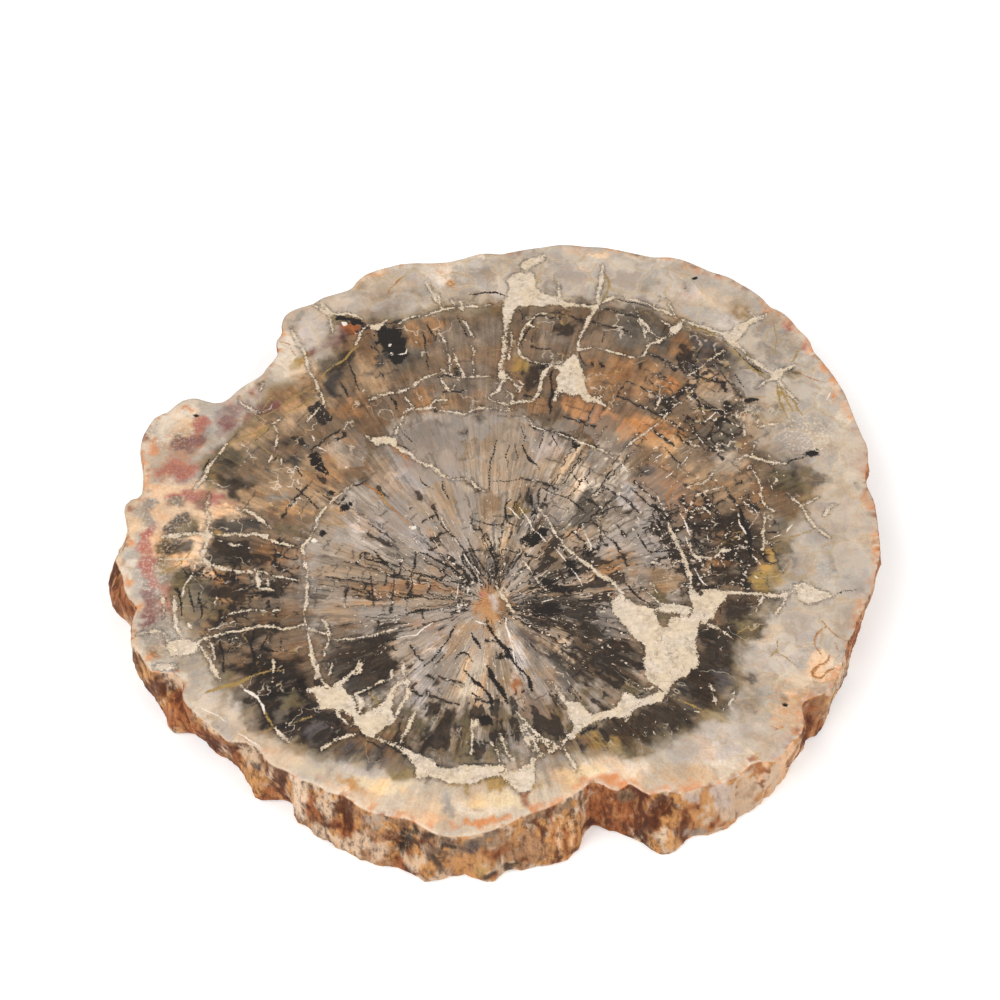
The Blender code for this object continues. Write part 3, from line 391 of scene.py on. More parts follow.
RUST = (
    (0.6, -46, 13, -42, 9.6, -38, 5.4, -35, 1.8, -32, -2.4, -29.4, -5.2),
    (0.8, -37, 30.4, -33.6, 26.6, -30.4, 23),
    (0.5, 111.8, -46.8, 108.5, -49.5, 107.4, -51.8, 107.4, -54.8, 109.1, -57.1),
    (0.7, 111.5, -57.1, 112, -58.9, 109.1, -60.6, 106.2, -63, 105.6, -65.4, 108.5, -66.5, 110.3, -64.2,
     113.8, -61.8), (0.35, 110.9, -44.2, 113.8, -48.3, 117.9, -52.1), (0.5, 113.8, -53, 115, -55.9),
    (0.4, 90.6, -84.4, 92, -86, 94, -85), (0.5, -40.6, 100.4, -39.6, 103.6, -37, 107.4, -33.6, 110),
    (0.5, -76, 76.6, -78, 77.4, -80.4, 77.6), (0.4, -75.6, 74.6, -73.6, 71),
    (0.35, 111, 64, 116, 60.5, 121.5, 58.6), (0.5, 64, 12, 61, 7, 62, 2),
    (0.5, -10.4, 13.6, -8, 12.2, -5.8, 10.4), (0.4, 84.6, -94.6, 86.4, -97.6),
)

# Filled areas with crisp edges, as outlines.
IVORY_AREAS = (
    (-46, 34, -44.3, 32.8, -41.9, 33.4, -40.2, 33.1, -37.2, 33.4, -35.2, 33.7, -34.3, 31.4, -34.9, 29.3,
     -37.2, 30.2, -39, 29.9, -41, 30.2, -42.5, 29.3, -44.3, 30.8),
    (8.6, 111.9, 12.8, 111.4, 15.1, 112, 16, 107.2, 15.7, 104.3, 16.9, 102.5, 20.4, 100.8, 22.8, 99, 27.5,
     97.2, 35.1, 96.1, 38.6, 95.2, 38.9, 93.7, 32.2, 94.9, 29.2, 95.5, 26.3, 94.3, 25.1, 95.5, 21.6, 96.1,
     17.5, 95.2, 9.2, 95.5, 8.1, 94.3, 6.9, 90.8, 6, 86.6, 4.8, 79, 3.4, 70.8, 2.9, 64.7, 4.5, 61.4, 4.2,
     59.6, 1, 60.2, 1.6, 63.1, 2.2, 70.2, 3.9, 82, 3.6, 86.6, 3.1, 91.4, 3.1, 98.4, 5.1, 99.6, 5.7, 103.7,
     5.1, 107.8, 6.3, 110.2), (12, 118, 17, 120, 19, 121, 19, 118.5, 15, 115, 12, 113, 10, 115),
    (29.2, 71.9, 30.4, 71.4, 31.6, 67.8, 32.8, 62, 33.4, 56.1, 33.9, 52.5, 37.5, 49.6, 36.3, 49, 32.2,
     50.2, 31, 52.5, 27.5, 52.5, 25.1, 54.9, 23.4, 52.5, 22.8, 49, 21.6, 49.6, 22.5, 53.1, 23.4, 60.2,
     24.2, 64.3, 21.6, 66.1, 24.5, 66.6, 26.9, 69.6),
    (-46, 86, -42.5, 86.6, -40.2, 88.4, -42, 84.3, -44.3, 83.4, -46, 83.7),
    (65.6, 82, 65.6, 84.9, 68.5, 85.5, 70.9, 89, 71.2, 85.5, 69.1, 82.5, 66.8, 80.8),
    (86.2, 82, 88.5, 82.5, 91.5, 85.5, 95, 88.4, 98.5, 89.6, 102, 91.4, 101.5, 89.6, 98, 87.8, 95, 85.5,
     93.2, 82.5, 91.5, 80.2, 89.7, 78.4, 90.3, 74.9, 87.9, 76.1, 86.2, 78.4),
    (101.5, 61.8, 104.5, 63.8, 107, 64.4, 106.4, 61.6, 104.6, 59.2, 102.6, 59.8),
    (66.8, -29, 68.5, -31.9, 70.3, -34.8, 73.2, -31.9, 77.9, -31.9, 79.7, -33.7, 77.9, -36.6, 75.6, -39.5,
     74.4, -43, 70.3, -44.2, 69.7, -45.4, 68.5, -48.3, 67.9, -51.8, 67.4, -56, 67.9, -59.5, 67.4, -63,
     65.6, -61.8, 65, -63.6, 62.6, -65.4, 58.5, -68.9, 57.4, -73, 55, -71.2, 52.6, -68.9, 50.3, -66.5,
     50.3, -60.6, 50.9, -54.8, 50.3, -53, 46.8, -50.6, 44, -45.4, 40.6, -40, 39.4, -36.5, 41, -34.2, 45,
     -35.2, 48.5, -37.6, 54.4, -39.4, 55.4, -43, 56.2, -45.6, 59.7, -46.5, 59.9, -42.6, 66.4, -42.8, 67.4,
     -39.5, 66.8, -35.4),
    (55.4, -39.8, 56.8, -37.8, 59.7, -37.2, 62.6, -37.8, 66.9, -39.5, 66.6, -42.6, 62.6, -41.3, 57.9,
     -40.7),
    (103.2, -30.1, 106.8, -28.9, 109.7, -31.3, 113.2, -33.1, 115.6, -34.2, 112.6, -35.4, 109.1, -36.6,
     105.6, -37.8, 103.8, -35.4),
    (17.5, -67.7, 19.8, -68.9, 22.2, -72.4, 24.5, -75.4, 28.1, -75.4, 30.4, -78.3, 32.8, -80.1, 36.3,
     -78.9, 39.8, -77.4, 42.2, -75.4, 41.9, -71.2, 42.8, -71.8, 48.5, -74.6, 52, -73, 55.6, -71.2, 57.4,
     -73, 55.6, -74.8, 52, -75.9, 48.5, -76.5, 45, -79.5, 43.4, -83, 42.2, -80.6, 38.6, -81.2, 34.5,
     -82.4, 30.4, -84.2, 26.3, -88.3, 23.4, -90, 21.6, -91.8, 18.6, -93.6, 15.7, -95.4, 13.9, -95.9, 12.8,
     -99.5, 11.6, -97.1, 16.3, -94.2, 19.2, -91.8, 21.6, -90.3, 23.9, -88, 25.7, -85.3, 25.4, -80.6, 23.9,
     -75.9, 21, -71.8),
    (-46, -83, -46, -79.5, -43.5, -80.6, -40, -79, -38.5, -77.7, -35.5, -73.6, -34, -71.5, -33.2, -73.6,
     -34.3, -78.3, -32.5, -80.6, -29, -72.4, -28.4, -70, -27, -72, -29.6, -76, -31.4, -80.6, -34, -84,
     -38.4, -87.7, -34.3, -89.5, -30.8, -91.8, -25.5, -94.8, -20.2, -96, -17.8, -98.9, -15.5, -99.8, -9.6,
     -98.3, -4.9, -98.9, 3.4, -98.3, 4, -100.5, 0, -102.5, -5, -104.5, -12, -105, -18, -103.5, -21, -102,
     -24.5, -103.5, -25, -99, -28, -95.5, -33, -91, -38, -88.5, -42, -87.5, -44, -84.5),
    (2.2, -101.2, 6.9, -100.6, 9.8, -98.3, 12.8, -98.9, 13.4, -104.2, 12.2, -107.7, 8.6, -108.3, 6.3,
     -106.5, 3.4, -103.6),
    (-61.7, -70.6, -58.8, -69.5, -54.6, -70.6, -50.5, -69.5, -48.8, -71.2, -46.4, -73.6, -45.2, -75.9,
     -45, -80.6, -47, -80.6, -49.4, -77.7, -51.7, -78.3, -54.6, -77.7, -57, -78.3, -58.2, -76.5, -56.4,
     -75.9, -58.8, -73),
    (-110, -54.8, -108.8, -51.8, -104, -51.2, -100.5, -51.8, -99.4, -54.8, -100.5, -57.1, -104, -57.7,
     -107.6, -57.1), (-113.5, -60.6, -106.4, -61.2, -105.2, -62.4, -108.8, -63.6, -112.9, -63),
    (-46, -61.2, -43.7, -58.3, -42.8, -59.5, -43.7, -63, -46, -65.4),
    (-34.6, -63.4, -33.4, -63.2, -34, -66.6), (-6.8, -82, -5.2, -82.2, -5, -84.4, -6.4, -85.2),
)
WHITE_AREAS = (
    (-29.9, -5.1, -27.2, -5.4, -26.8, -6.6, -28.4, -7.1, -30.2, -6),
    (-57.6, 87.4, -55.4, 87.6, -54.8, 86.2, -57, 85.6),
    (-63.4, -10.4, -61.6, -10, -60.8, -11.6, -62.2, -12.6, -63.6, -12),
    (-103.2, -45, -101.6, -46, -101.6, -47.6, -103, -46.6),
    # These last two are painted glints: highlights on the glossy black pocket.
    (-38.8, 72.4, -37.4, 72.4, -37.2, 71, -38.8, 71),
    (-39.6, 76.6, -38.6, 76.6, -38.8, 75.4, -39.6, 75.6),
)
BLACK_AREAS = (
    (-46, 84, -42, 86, -38, 84, -34.6, 84.2, -34, 80, -32, 77, -31.2, 73, -32.4, 70, -34, 67, -37, 66.4,
     -40, 70, -43, 74, -45, 78),
    (-61.1, 91.4, -57.6, 90.8, -52.3, 89, -48.8, 87.8, -47.6, 85.5, -50.5, 84.3, -54.6, 85.5, -57.6, 87.8,
     -60.5, 86.7), (35.1, 68.4, 38.6, 68.4, 41.6, 66, 41, 65.2, 37.5, 66, 35.1, 66.6),
    (16.3, 67.2, 19.2, 67.8, 19.8, 66, 18.1, 63.7, 16.3, 64.9),
    (10.4, 9, 13, 11, 14, 4, 15.5, 1, 14.5, -3, 13, -6, 11.5, -4, 13, -1, 13.5, 2, 11, 6),
    (12.8, -7.2, 17.5, -6, 19.8, -6.6, 19.2, -8.9, 17.5, -12.5, 13.4, -14.2, 10.4, -14.2, 8.6, -11.3,
     12.2, -8.9),
    (24.2, 34, 27.4, 32.6, 30, 30.6, 33, 30.2, 36.2, 30, 38.4, 30, 37.2, 27.6, 34.4, 28.6, 31.4, 28.6,
     29.4, 26.6, 27.6, 24, 26.8, 27.4, 28, 30.6),
    (31, -12.5, 34.5, -14.8, 36.3, -12.5, 38, -12.5, 36.3, -16, 33.9, -19.5, 31, -20.7, 30.4, -17.8),
    (24.5, -19.5, 29, -19.5, 30, -24, 28, -29, 25, -25),
    (15, -27, 20, -26.4, 23, -30, 32, -32, 30, -33.6, 20, -33, 15.6, -30),
    (12, -39, 17, -37, 20, -36.5, 24, -38, 22, -43, 12, -43),
    (-65.2, 28.7, -66.2, 24, -64.6, 19.9, -61.7, 17.5, -58.2, 15.2, -58.8, 18.1, -61.1, 21.1, -60.5, 23.4,
     -62.3, 26.3), (-59.5, 9.3, -57.2, 9.8, -55.4, 8.5, -56.6, 7.2, -59, 7.4),
    (-54.6, 2.8, -51.1, 5.8, -49, 5, -51, 1, -54, 0.5),
    (-61.1, -7.2, -58.2, -6, -57.6, -7.8, -59.9, -10.1),
    (-84.6, -36, -82.9, -33.1, -80.5, -31.9, -77.6, -32.5, -74.6, -33.1, -72.3, -34.8, -76.4, -34.2,
     -79.9, -36, -84.1, -36.9), (90.3, 50.8, 93.2, 51.9, 96.8, 51.3, 97.9, 49.6, 95, 49.9, 92, 49),
    (69.7, 47.8, 71.5, 49.6, 73.8, 47.8, 75, 44.9, 72.6, 44.3, 70.3, 46),
    (110, 26, 113, 27.5, 116, 28.5, 116.5, 25.5, 113, 24.5),
    (-5.5, -80.6, 0.4, -80.1, 0.4, -84.2, -4.9, -84.8),
    (70.2, -32, 71.6, -31.8, 71.8, -34.8, 70.6, -34.6), (64, 65.8, 67, 65.8, 67.6, 63.4, 65, 63.4),
    (-46, -84, -44, -82.6, -42.6, -84.4, -44.4, -85.6),
    (5, -54.5, 8, -57.5, 7.5, -59.5, 2.5, -59, 0.5, -57),
)
# Sunken pits, as outlines; the face's material paints them near black as painted shade.
PITS = (
    (74.5, 108.6, 76.5, 109.8, 78, 110, 77.6, 108.6, 76.3, 108),
    (90.6, 83.4, 91.6, 84, 92.6, 83.6, 91.6, 82.8), (94.6, 70, 95.4, 69.8, 96.4, 68, 95.6, 68),
    (108.9, 64.4, 110.2, 65.6, 111.8, 65.6, 110.6, 64.2),
    (94.9, -75.8, 96, -75.4, 96.8, -76.2, 96.2, -77.3, 95.2, -77.1),
    (-109.2, 43.2, -107.6, 43.6, -106.8, 42.6, -108.4, 42),
)

# Tones laid over one another in order. With six entries, the tone fills an ellipse: centre, two radii
# and turn in degrees. With more, it fills an outline: softness, then its points.
TONES = (
    ("sand", 6, -110, -75, -60, -100, -40, -106, -10, -100, 30, -98, 60, -96, 90, -88, 100, -120, 0, -140,
     -110, -110),
    ("brown", 1.2, -58, 92, -35, 92, -10, 95, 4, 97, 20, 98, 40, 98, 55, 99, 68, 90, 86, 79, 101, 62, 107,
     50, 108, 40, 113, 25, 112, 5, 105, -8, 99, -20, 98, -33, 92, -40, 85, -52, 82, -68, 75, -79, 60, -89,
     46, -94, 30, -96, 15, -98, -20, -104, -36, -100, -60, -95, -75, -88, -88, -76, -93, -65, -100, -54,
     -104, -42, -113, -28, -117, -15, -104, 0, -101, 10, -104, 22, -96, 32, -88, 45, -84, 56, -70, 60,
     -60, 72, -61, 85),
    ("pale", 1, -28, 47, -20, 45.5, -10, 43.5, 0, 46.5, 8, 45, 14, 39.5, 24, 34.5, 34.5, 29.5, 42, 25, 49,
     11, 56, 3, 61, -6, 66, -24, 66, -33, 60, -40, 40, -36, 41, -45, 49, -52, 52, -60, 55, -67, 49, -73,
     38, -80, 31, -84, 20, -91, 8, -97, -4, -99, -16, -98, -26, -94, -37, -87, -45, -77, -56, -60, -62,
     -48, -64, -38, -65, -25, -65, -13, -62, -3, -58, 4, -49.5, 11, -44, 14, -42, 24, -38, 32, -33, 40),
    ("olive", 1.5, -46, -78, -30, -77, -14, -81, 0, -79, 14, -77, 28, -72, 40, -68, 54, -66, 49, -73, 38,
     -80, 31, -84, 20, -91, 8, -97, -4, -99, -16, -98, -26, -94, -37, -87),
    ("smoke", 1.5, -60, -44, -48, -50, -34, -52, -30, -60, -36, -72, -46, -76, -56, -64),
    ("fog", 1.5, -62, -34, -34, -32, -34, -20, -62, -16),
)
SPOTS = (
    # Upper left.
    ("tan", -68, 52, 13, 9, 40), ("brown", -78, 62, 12, 6, 50), ("beige", -62, 82, 10, 6, 40),
    ("clay", -52, 46, 9, 5, 30),
    ("lilac", 0.8, -79, 90, -77, 94.5, -70, 96, -66, 94, -64, 90, -62, 84, -62, 79, -66, 75, -70, 73.5,
     -74, 79, -76, 85),
    ("cream", 1, -79, 84, -76, 82, -73, 75, -69, 68, -68, 62, -74, 60, -80, 60, -85, 63, -82, 70, -80,
     77), ("plum", -60, 79, 10, 2.6, 43), ("rust", -54, 83.5, 3, 2, 30), ("umber", -58, 88, 3, 2, 0),
    ("umber", 0.8, -66, 66, -58, 72, -50, 75, -54, 68, -62, 62),
    ("smoke", 0.8, -64, 58, -61, 62.5, -56.4, 65.5, -56.4, 59.6, -57.6, 55, -54.6, 51, -58.8, 51, -61,
     53), ("cream", 0.6, -66, 97, -60, 101, -56, 104, -54, 98, -56, 93, -62, 93),
    ("brown", -57, 100, 1.5, 1, 0),
    ("tan", 1, -52, 70, -46, 72, -40, 68, -38, 60, -42, 52, -48, 52, -50, 60),
    ("plum", -88, 53, 4, 2.5, 30), ("plum", -93, 47, 4, 3, 20), ("cream", -113, 47, 6, 4, 20),
    ("flame", -112, 47, 1.5, 1, 0), ("mist", -51, 101, 4, 5, 0), ("plum", -84, 46, 7, 2, 30),
    ("brick", -96, 51, 4, 2, 40), ("gold", -72, 68, 2, 5, -30),
    # Top.
    ("taupe", -18, 66, 20, 15, 0),
    ("taupe", 1, 13.9, 88, 18.6, 90.8, 24.5, 91.5, 29, 90.5, 32, 86, 32.5, 82, 30.5, 76, 29, 72, 25, 68,
     20, 67.5, 15, 69, 11, 74, 10.5, 79, 12.5, 84), ("brown", 14, 74, 4, 4, 0),
    ("taupe", -2, 78, 5, 14, 0), ("taupe", -14, 79, 6, 13, 5), ("clay", -22, 86, 4, 4, 0),
    ("clay", -28, 82, 6, 8, 0), ("ash", -30, 68, 6, 7, 0), ("olive", -22, 93.5, 9, 2, 5),
    ("fog", -35, 100, 12, 4, 8), ("brown", -38, 93.5, 9, 2, 12), ("brown", -3, 99, 8, 3, 0),
    ("clay", -26, 51, 4, 6, 0), ("tan", -16, 48, 4, 2.5, 0), ("clay", -6, 51, 3, 3, 0),
    ("clay", 16.5, 48, 4, 5, 0), ("orange", 34, 46, 12, 4, -20), ("moss", 10, 65.5, 3.5, 5, 0),
    ("clay", 39, 58, 6, 9, 0), ("fog", 20.5, 107, 4, 7, 0), ("lilac", 32, 107, 6, 8, 0),
    ("peach", 37, 122.5, 10, 2.6, -6), ("smoke", -40.5, 70, 1.2, 8, -38),
    ("umber", 32, 98.5, 6.5, 1.2, -22), ("olive", 23, 102, 5, 1.4, -20), ("ivory", -20, 112, 5, 5, 0),
    ("flame", -22, 113, 2, 1.4, 0), ("ochre", -18, 107, 1.6, 2, 0),
    ("umber", 0.7, 15, 67, 17, 65.5, 16.3, 61.4, 15.7, 57.2, 13.9, 53.7, 11.6, 50.8, 10.1, 52, 10.4, 56,
     12.2, 61.4, 14, 65.5), ("lilac", 4, 104, 5, 6, 0), ("mist", -6, 110, 7, 5, 0),
    ("fog", 50, 112, 7, 5, -15), ("lilac", -30, 108, 6, 4, 10),
    # Upper right.
    ("ash", 55, 85, 11, 12, -20), ("moss", 52, 106, 9, 5, -12), ("lilac", 65, 113, 6, 3.5, -20),
    ("lilac", 74, 102, 4, 5, -30), ("clay", 52, 60, 9, 10, 0), ("clay", 69, 74, 4, 6, 0),
    ("orange", 62, 57, 6, 4, -30),
    ("slate", 1.2, 72.6, 82, 78, 79, 86.2, 76, 88.5, 71, 92, 66, 95.6, 62.5, 99.7, 59.6, 95, 56.6, 90.9,
     56, 86.2, 58.4, 82.6, 63.7, 78, 66, 74.4, 63.7, 71, 62.5, 73.2, 70, 74.4, 76),
    ("smoke", 84, 71, 5, 4, -40),
    ("beige", 1, 71.5, 62, 78, 66, 82.6, 63, 86.2, 58.4, 89.7, 55, 86.2, 50.8, 81.5, 48.4, 74.4, 47.2, 71,
     50.8, 71, 56),
    ("fog", 1, 91.5, 80, 96.8, 85.5, 101.5, 88.4, 104.4, 88.4, 105.6, 84.3, 108.5, 83, 112.6, 79.6, 115,
     76.6, 112.6, 72.5, 109, 69.6, 107.4, 66.6, 103.2, 66.6, 99.7, 69.6, 96.8, 72.5, 94.4, 76),
    ("moss", 92, 92, 8, 3, -40), ("olive", 109.5, 60.5, 3, 4, 0), ("clay", 96, 46, 7, 6, 0),
    ("moss", 105, 50, 4, 8, -15), ("smoke", 92, 53, 5, 3, -20), ("flame", 77, 115, 5, 2, -38),
    ("flame", 93, 107, 4, 2, -45), ("flame", 104, 95, 4, 2, -50), ("brick", 111, 88, 3, 3, 0),
    ("brick", 118, 77, 3, 4, -40), ("flame", 125, 56, 2, 6, 0), ("sand", 84, 98, 8, 4, -40),
    ("lilac", 88, 88, 4, 3, -40),
    # Left.
    ("tan", -84, 34, 14, 5, 30), ("brown", -80, 26, 16, 6, 20), ("tan", -72, 12, 16, 11, 15),
    ("clay", -56, 28, 7, 7, 40), ("beige", -55, 26, 3, 9, 30), ("cream", -116, 38, 7, 7, 0),
    ("plum", -109, 31, 7, 4.5, 15), ("sand", -114, 37, 4, 3, 0), ("flame", -122, 28, 3, 4, 0),
    ("brick", 1, -121, 20, -116.4, 22.2, -113.5, 25.8, -110, 23.4, -105.2, 21.6, -104.6, 20, -105.8, 16.4,
     -109.4, 14.6, -114, 14.6, -119.4, 16.4),
    ("plum", 1, -99.4, 44, -93.5, 44, -93.5, 39.3, -95.8, 33.4, -98.2, 36.3, -100, 40.5),
    ("brick", -106, 40, 3, 4, -30), ("peach", -106, 8, 6, 5, 0), ("lilac", -101, 9, 4, 3, 0),
    ("peach", -116, 8, 5, 4, 0), ("sand", -112, 2, 6, 3, 0), ("olive", -95, 22, 5, 5, 0),
    ("smoke", 0.7, -75.2, 24.6, -71, 24.6, -69.4, 22.2, -70, 20.5, -72.3, 21, -74.6, 22.2),
    ("umber", 0.8, -99.9, 16.4, -95.8, 14.6, -92.3, 15.2, -87, 14, -84, 12.8, -83.8, 10.5, -87, 9.3,
     -90.5, 9.9, -90.5, 6.4, -94.6, 5.2, -96.4, 6.9, -97.6, 11),
    ("peach", 1, -122, 14, -104, 12, -96, 10, -90, 4, -88, -1, -94, 0, -99, -3, -99.5, -9, -97, -9.5,
     -99.5, -12, -100, -18, -98, -23, -90, -24, -97, -27, -108, -28, -112, -24, -122, -20),
    ("brick", -101, 6, 7, 3, 0), ("brick", -110, 7, 6, 3, 10), ("brick", -121, -8, 3, 6, 0),
    ("taupe", -112, 5, 3, 2, 0), ("brick", -119, -21, 4, 5, 20), ("brown", -107, -36, 6, 8, 15),
    ("fog", -116, -27, 4, 5, 20), ("olive", -106, -29, 6, 5, 20), ("brick", -112, -35, 2.4, 5, 20),
    ("plum", -115, -44, 3, 6, 10), ("fog", -112, -50, 5, 6, 0),
    ("umber", 0.6, -115.2, -6, -114, -3, -110.5, 0.2, -106.4, 0, -103, -2.5, -101.7, -6, -102, -7.8,
     -107.6, -9.2, -114.6, -8.9),
    ("umber", 0.6, -117.3, -14.8, -114.6, -10.7, -110.5, -10.4, -105.8, -11, -104, -13.7, -105.2, -16.6,
     -108.8, -17.8, -113.5, -17.5, -117, -16.6),
    ("smoke", 0.6, -98, -3, -94.6, -1.9, -87, -1.3, -83, -2.5, -79.4, -4.8, -80.5, -7.2, -85.8, -7.8, -91,
     -8.4, -96.4, -7.2),
    ("umber", 0.7, -98.8, -17.2, -97.6, -12.5, -94.6, -10.4, -90, -11.9, -84, -14.8, -79.4, -16, -78.2,
     -18.9, -80.5, -21.3, -86.4, -21.9, -92.3, -22.5, -97, -21.3), ("olive", -69, -7.2, 6, 1.4, -8),
    ("amber", -70, 2, 4, 3, 0), ("clay", -74, -17, 9, 5, 0), ("orange", -72, -19, 4, 2, 0),
    ("tan", -55, 0, 4, 5, 0), ("sand", -125, -5, 3, 6, 0), ("fog", -121, 0, 3, 6, 0),
    ("brick", -118, -24, 2, 7, 20), ("plum", -118, -36, 3, 4, 0), ("ivory", -126, -24, 3, 5, 0),
    ("gold", -94, -9, 1.5, 1, 0), ("olive", -100, -38, 9, 7, 10),
    ("tan", 0.8, -93.5, -32.5, -90.5, -30, -88.2, -30.7, -86.4, -33, -83, -32.5, -84.6, -36.6, -87, -38.4,
     -90.5, -36.6, -93.5, -36), ("brown", -78, -30, 8, 4, 0), ("clay", -90, -26, 6, 2.5, 10),
    ("taupe", -72, -36, 8, 4, 10), ("fog", -77, 7, 4, 1.5, 20),
    # Heartwood.
    ("lilac", -32, 14, 5, 8, 40), ("lilac", -44, -6, 8, 4, -25), ("lilac", -22, -13, 9, 4, -40),
    ("lilac", 20, 28, 5, 6, 0), ("sand", 34, 12, 14, 16, 0), ("cream", 38, 14, 9, 10, 0),
    ("sand", 4, -12, 6, 7, 0), ("tan", -6, -48, 8, 4, 0), ("tan", -22, -52, 6, 4, 0),
    ("umber", 1, 24, -42, 30, -38, 38, -42, 46, -52, 50, -58, 47, -66, 40, -69, 30, -62, 26, -52),
    ("beige", -12, 2, 8, 9, 0), ("fog", -5, 30, 9, 10, 0), ("taupe", -24, 34, 8, 6, 0),
    ("beige", 2, 18, 10, 8, 0), ("peach", 27.5, -8, 2.6, 6, -20), ("orange", 40, -23, 5, 7, -35),
    ("rust", 36, -36, 2, 1.5, 0), ("flame", 40, -33, 2, 1.5, 0), ("taupe", 45, 5, 7, 9, 0),
    ("fog", 38, 20, 6, 6, 0), ("ash", 33, 2, 6, 7, 0), ("clay", -42, -31, 6, 3, 0),
    ("orange", -26, -31, 14, 3, -3), ("plum", -21, -32, 6, 1.2, -3), ("amber", -38, -36, 7, 3, 0),
    ("brown", -1, 4, 4, 5, 0), ("umber", 0.8, -11, 14.5, -8, 12, -5, 10, -7, 13.5),
    ("moss", 9, 0, 3.5, 5, 0), ("brown", 20, -20, 6, 6, 0),
    ("rust", 1, -38, 30, -36, 28, -33, 25, -30, 22.5, -28, 22.5, -30.5, 25.5, -33, 28, -36, 30),
    ("ash", 18, -5, 5, 5, 0), ("clay", 0, -37.5, 7, 8, 5), ("orange", -3, -38, 3, 5, 0),
    ("amber", -1, -42, 3, 4, 0), ("sand", 3, -33, 2, 3, 0), ("lilac", 1, -37, 1.5, 3, 20),
    ("brick", -4, -34, 2, 1.5, 0), ("brown", 4, -42, 2, 3, 0), ("smoke", 22, -38, 13, 5, 0),
    ("ash", 15, -50, 8, 7, 0), ("slate", 14, -50, 4, 7, -20), ("fog", 18, -50, 3, 3, 0),
    ("smoke", 0, -22, 6, 5, 0), ("brown", -52, -50, 6, 5, 0),
    ("umber", 1, -50, -52, -33, -52, -31, -60, -34, -68, -40, -72, -47, -66, -52, -58),
    ("beige", 1.5, -34, -50, -20, -46, -4, -48, 10, -50, 14, -60, 10, -70, 2, -78, -6, -80, -20, -80, -28,
     -70, -32, -62), ("lilac", -22, -60, 5, 10, -25), ("sand", -8, -66, 4, 9, 0),
    ("lilac", 8, -58, 3, 8, 15), ("clay", -20, -47, 5, 3, 0), ("orange", -28, -45, 3, 2, 0),
    ("tan", 4, -66, 2, 3, 0), ("fog", -19, -64, 5, 8, 15), ("lilac", -24, -70, 3, 6, 10),
    ("umber", 1, 28, -50, 34, -54, 44, -52, 48, -58, 48, -70, 42, -68, 34, -66, 30, -60),
    ("smoke", 36, -48, 8, 4, 0),
    ("sand", 0.7, 21, -53, 24.5, -49.5, 25, -52.4, 26.3, -55.4, 25, -58.3, 27, -60.6, 29.8, -61.2, 26.3,
     -62.4, 23.4, -60.6, 22.2, -56.5), ("cream", 1, -50, 1.5, 2, 0),
    ("tan", 0.8, 17.5, -63.6, 24.5, -62.4, 27, -64.2, 29.2, -66.5, 26.3, -67.7, 25.7, -70, 20.4, -69.5),
    ("umber", 33, -61, 7, 8, 20), ("smoke", 24, -64, 4, 7, 10),
    ("taupe", 0.8, 31, -74.8, 32.2, -71.8, 34.5, -69, 37.5, -68.6, 41, -70, 41.6, -74.2, 38.6, -76.5,
     34.5, -76.5, 32.8, -78.3), ("rust", 0.7, 8, -66, 9.8, -69, 9.8, -73, 7, -71.8, 5.7, -67.7),
    ("brown", 13, -77, 4, 5, 0), ("fog", 8, -88, 4, 7, 10), ("fog", -14, -89, 2.2, 7, 0),
    ("fog", -20, -89, 2.2, 7, 0), ("taupe", -26, -87, 2.4, 6, 20), ("fog", -3, -90, 3, 6, 0),
    ("taupe", 16, -84, 3, 7, -10), ("fog", 24, -80, 3, 6, -25), ("taupe", -34, -80, 3, 6, 35),
    ("fog", 33, -76, 3, 4, -30), ("smoke", -21.4, -70, 1.2, 1.6, 0), ("umber", -19, -77.7, 2, 2.5, 0),
    ("umber", -8, -78.6, 1, 1.7, 0), ("umber", -14, -83, 2, 2.4, 0), ("umber", -11, -88, 0.8, 6, 0),
    ("umber", -17, -90, 0.8, 5, 0), ("umber", -22.4, -88, 0.8, 5, 0), ("olive", -37, -76, 2.5, 3, 0),
    # Right.
    ("amber", 60, 34, 12, 8, -25), ("orange", 54, 38, 8, 5, -20), ("clay", 64, 12, 5, 7, 0),
    ("umber", 54.5, 17, 2.2, 3, 0), ("lilac", 48, 8, 2, 7, 0), ("clay", 69, 1, 5, 4, 0),
    ("tan", 80, 15, 11, 10, 10), ("beige", 84, 22, 7, 5, 10),
    ("lilac", 0.7, 48.5, -4.8, 51.5, -1.9, 56.2, -3, 58.5, -7.8, 59.7, -12.5, 59, -14.8, 53.8, -14.8,
     51.5, -11.3), ("mist", 57, -18, 4, 2, 0),
    ("umber", 1.4, 68, -2, 74, -3, 84, 0, 92, -4, 93, -14, 88, -26, 78, -30, 70, -28, 68, -16),
    ("brown", 77, -9, 6, 3.4, 0), ("ash", 84, -21, 3.5, 3.5, 0), ("clay", 74.5, -21.5, 3, 2.6, 0),
    ("tan", 0.8, 53.8, -22, 59.7, -22.5, 65, -22, 66.2, -25.4, 65.9, -29.5, 63.8, -31.9, 59, -34.2, 55.6,
     -31.9, 53.8, -27.8),
    ("gold", 0.8, 91.5, -15.4, 95, -13, 98, -14.8, 99, -19.5, 98, -23.6, 103.8, -25.4, 107.4, -23.6,
     106.2, -26.6, 101.5, -28.4, 98, -30, 93.8, -33, 89.7, -31.9, 88, -26.6, 91.5, -23, 93.8, -20),
    ("ash", 101, -19, 3.5, 6, 0), ("ash", 99, -5, 3.4, 4, 0), ("olive", 107, 16, 8, 6, 0),
    ("sand", 114, 33, 8, 7, 0), ("smoke", 115, 15, 4, 3, 0), ("fog", 115, 3.5, 3, 4, 0),
    ("ash", 82, 36, 8, 8, 0), ("beige", 96, 37, 6, 7, 0), ("cream", 128, 20, 5, 26, -4),
    ("flame", 131.5, 8, 1.6, 6, 0), ("flame", 131, -25, 1.6, 7, 10), ("fog", 118, -12, 6, 10, 0),
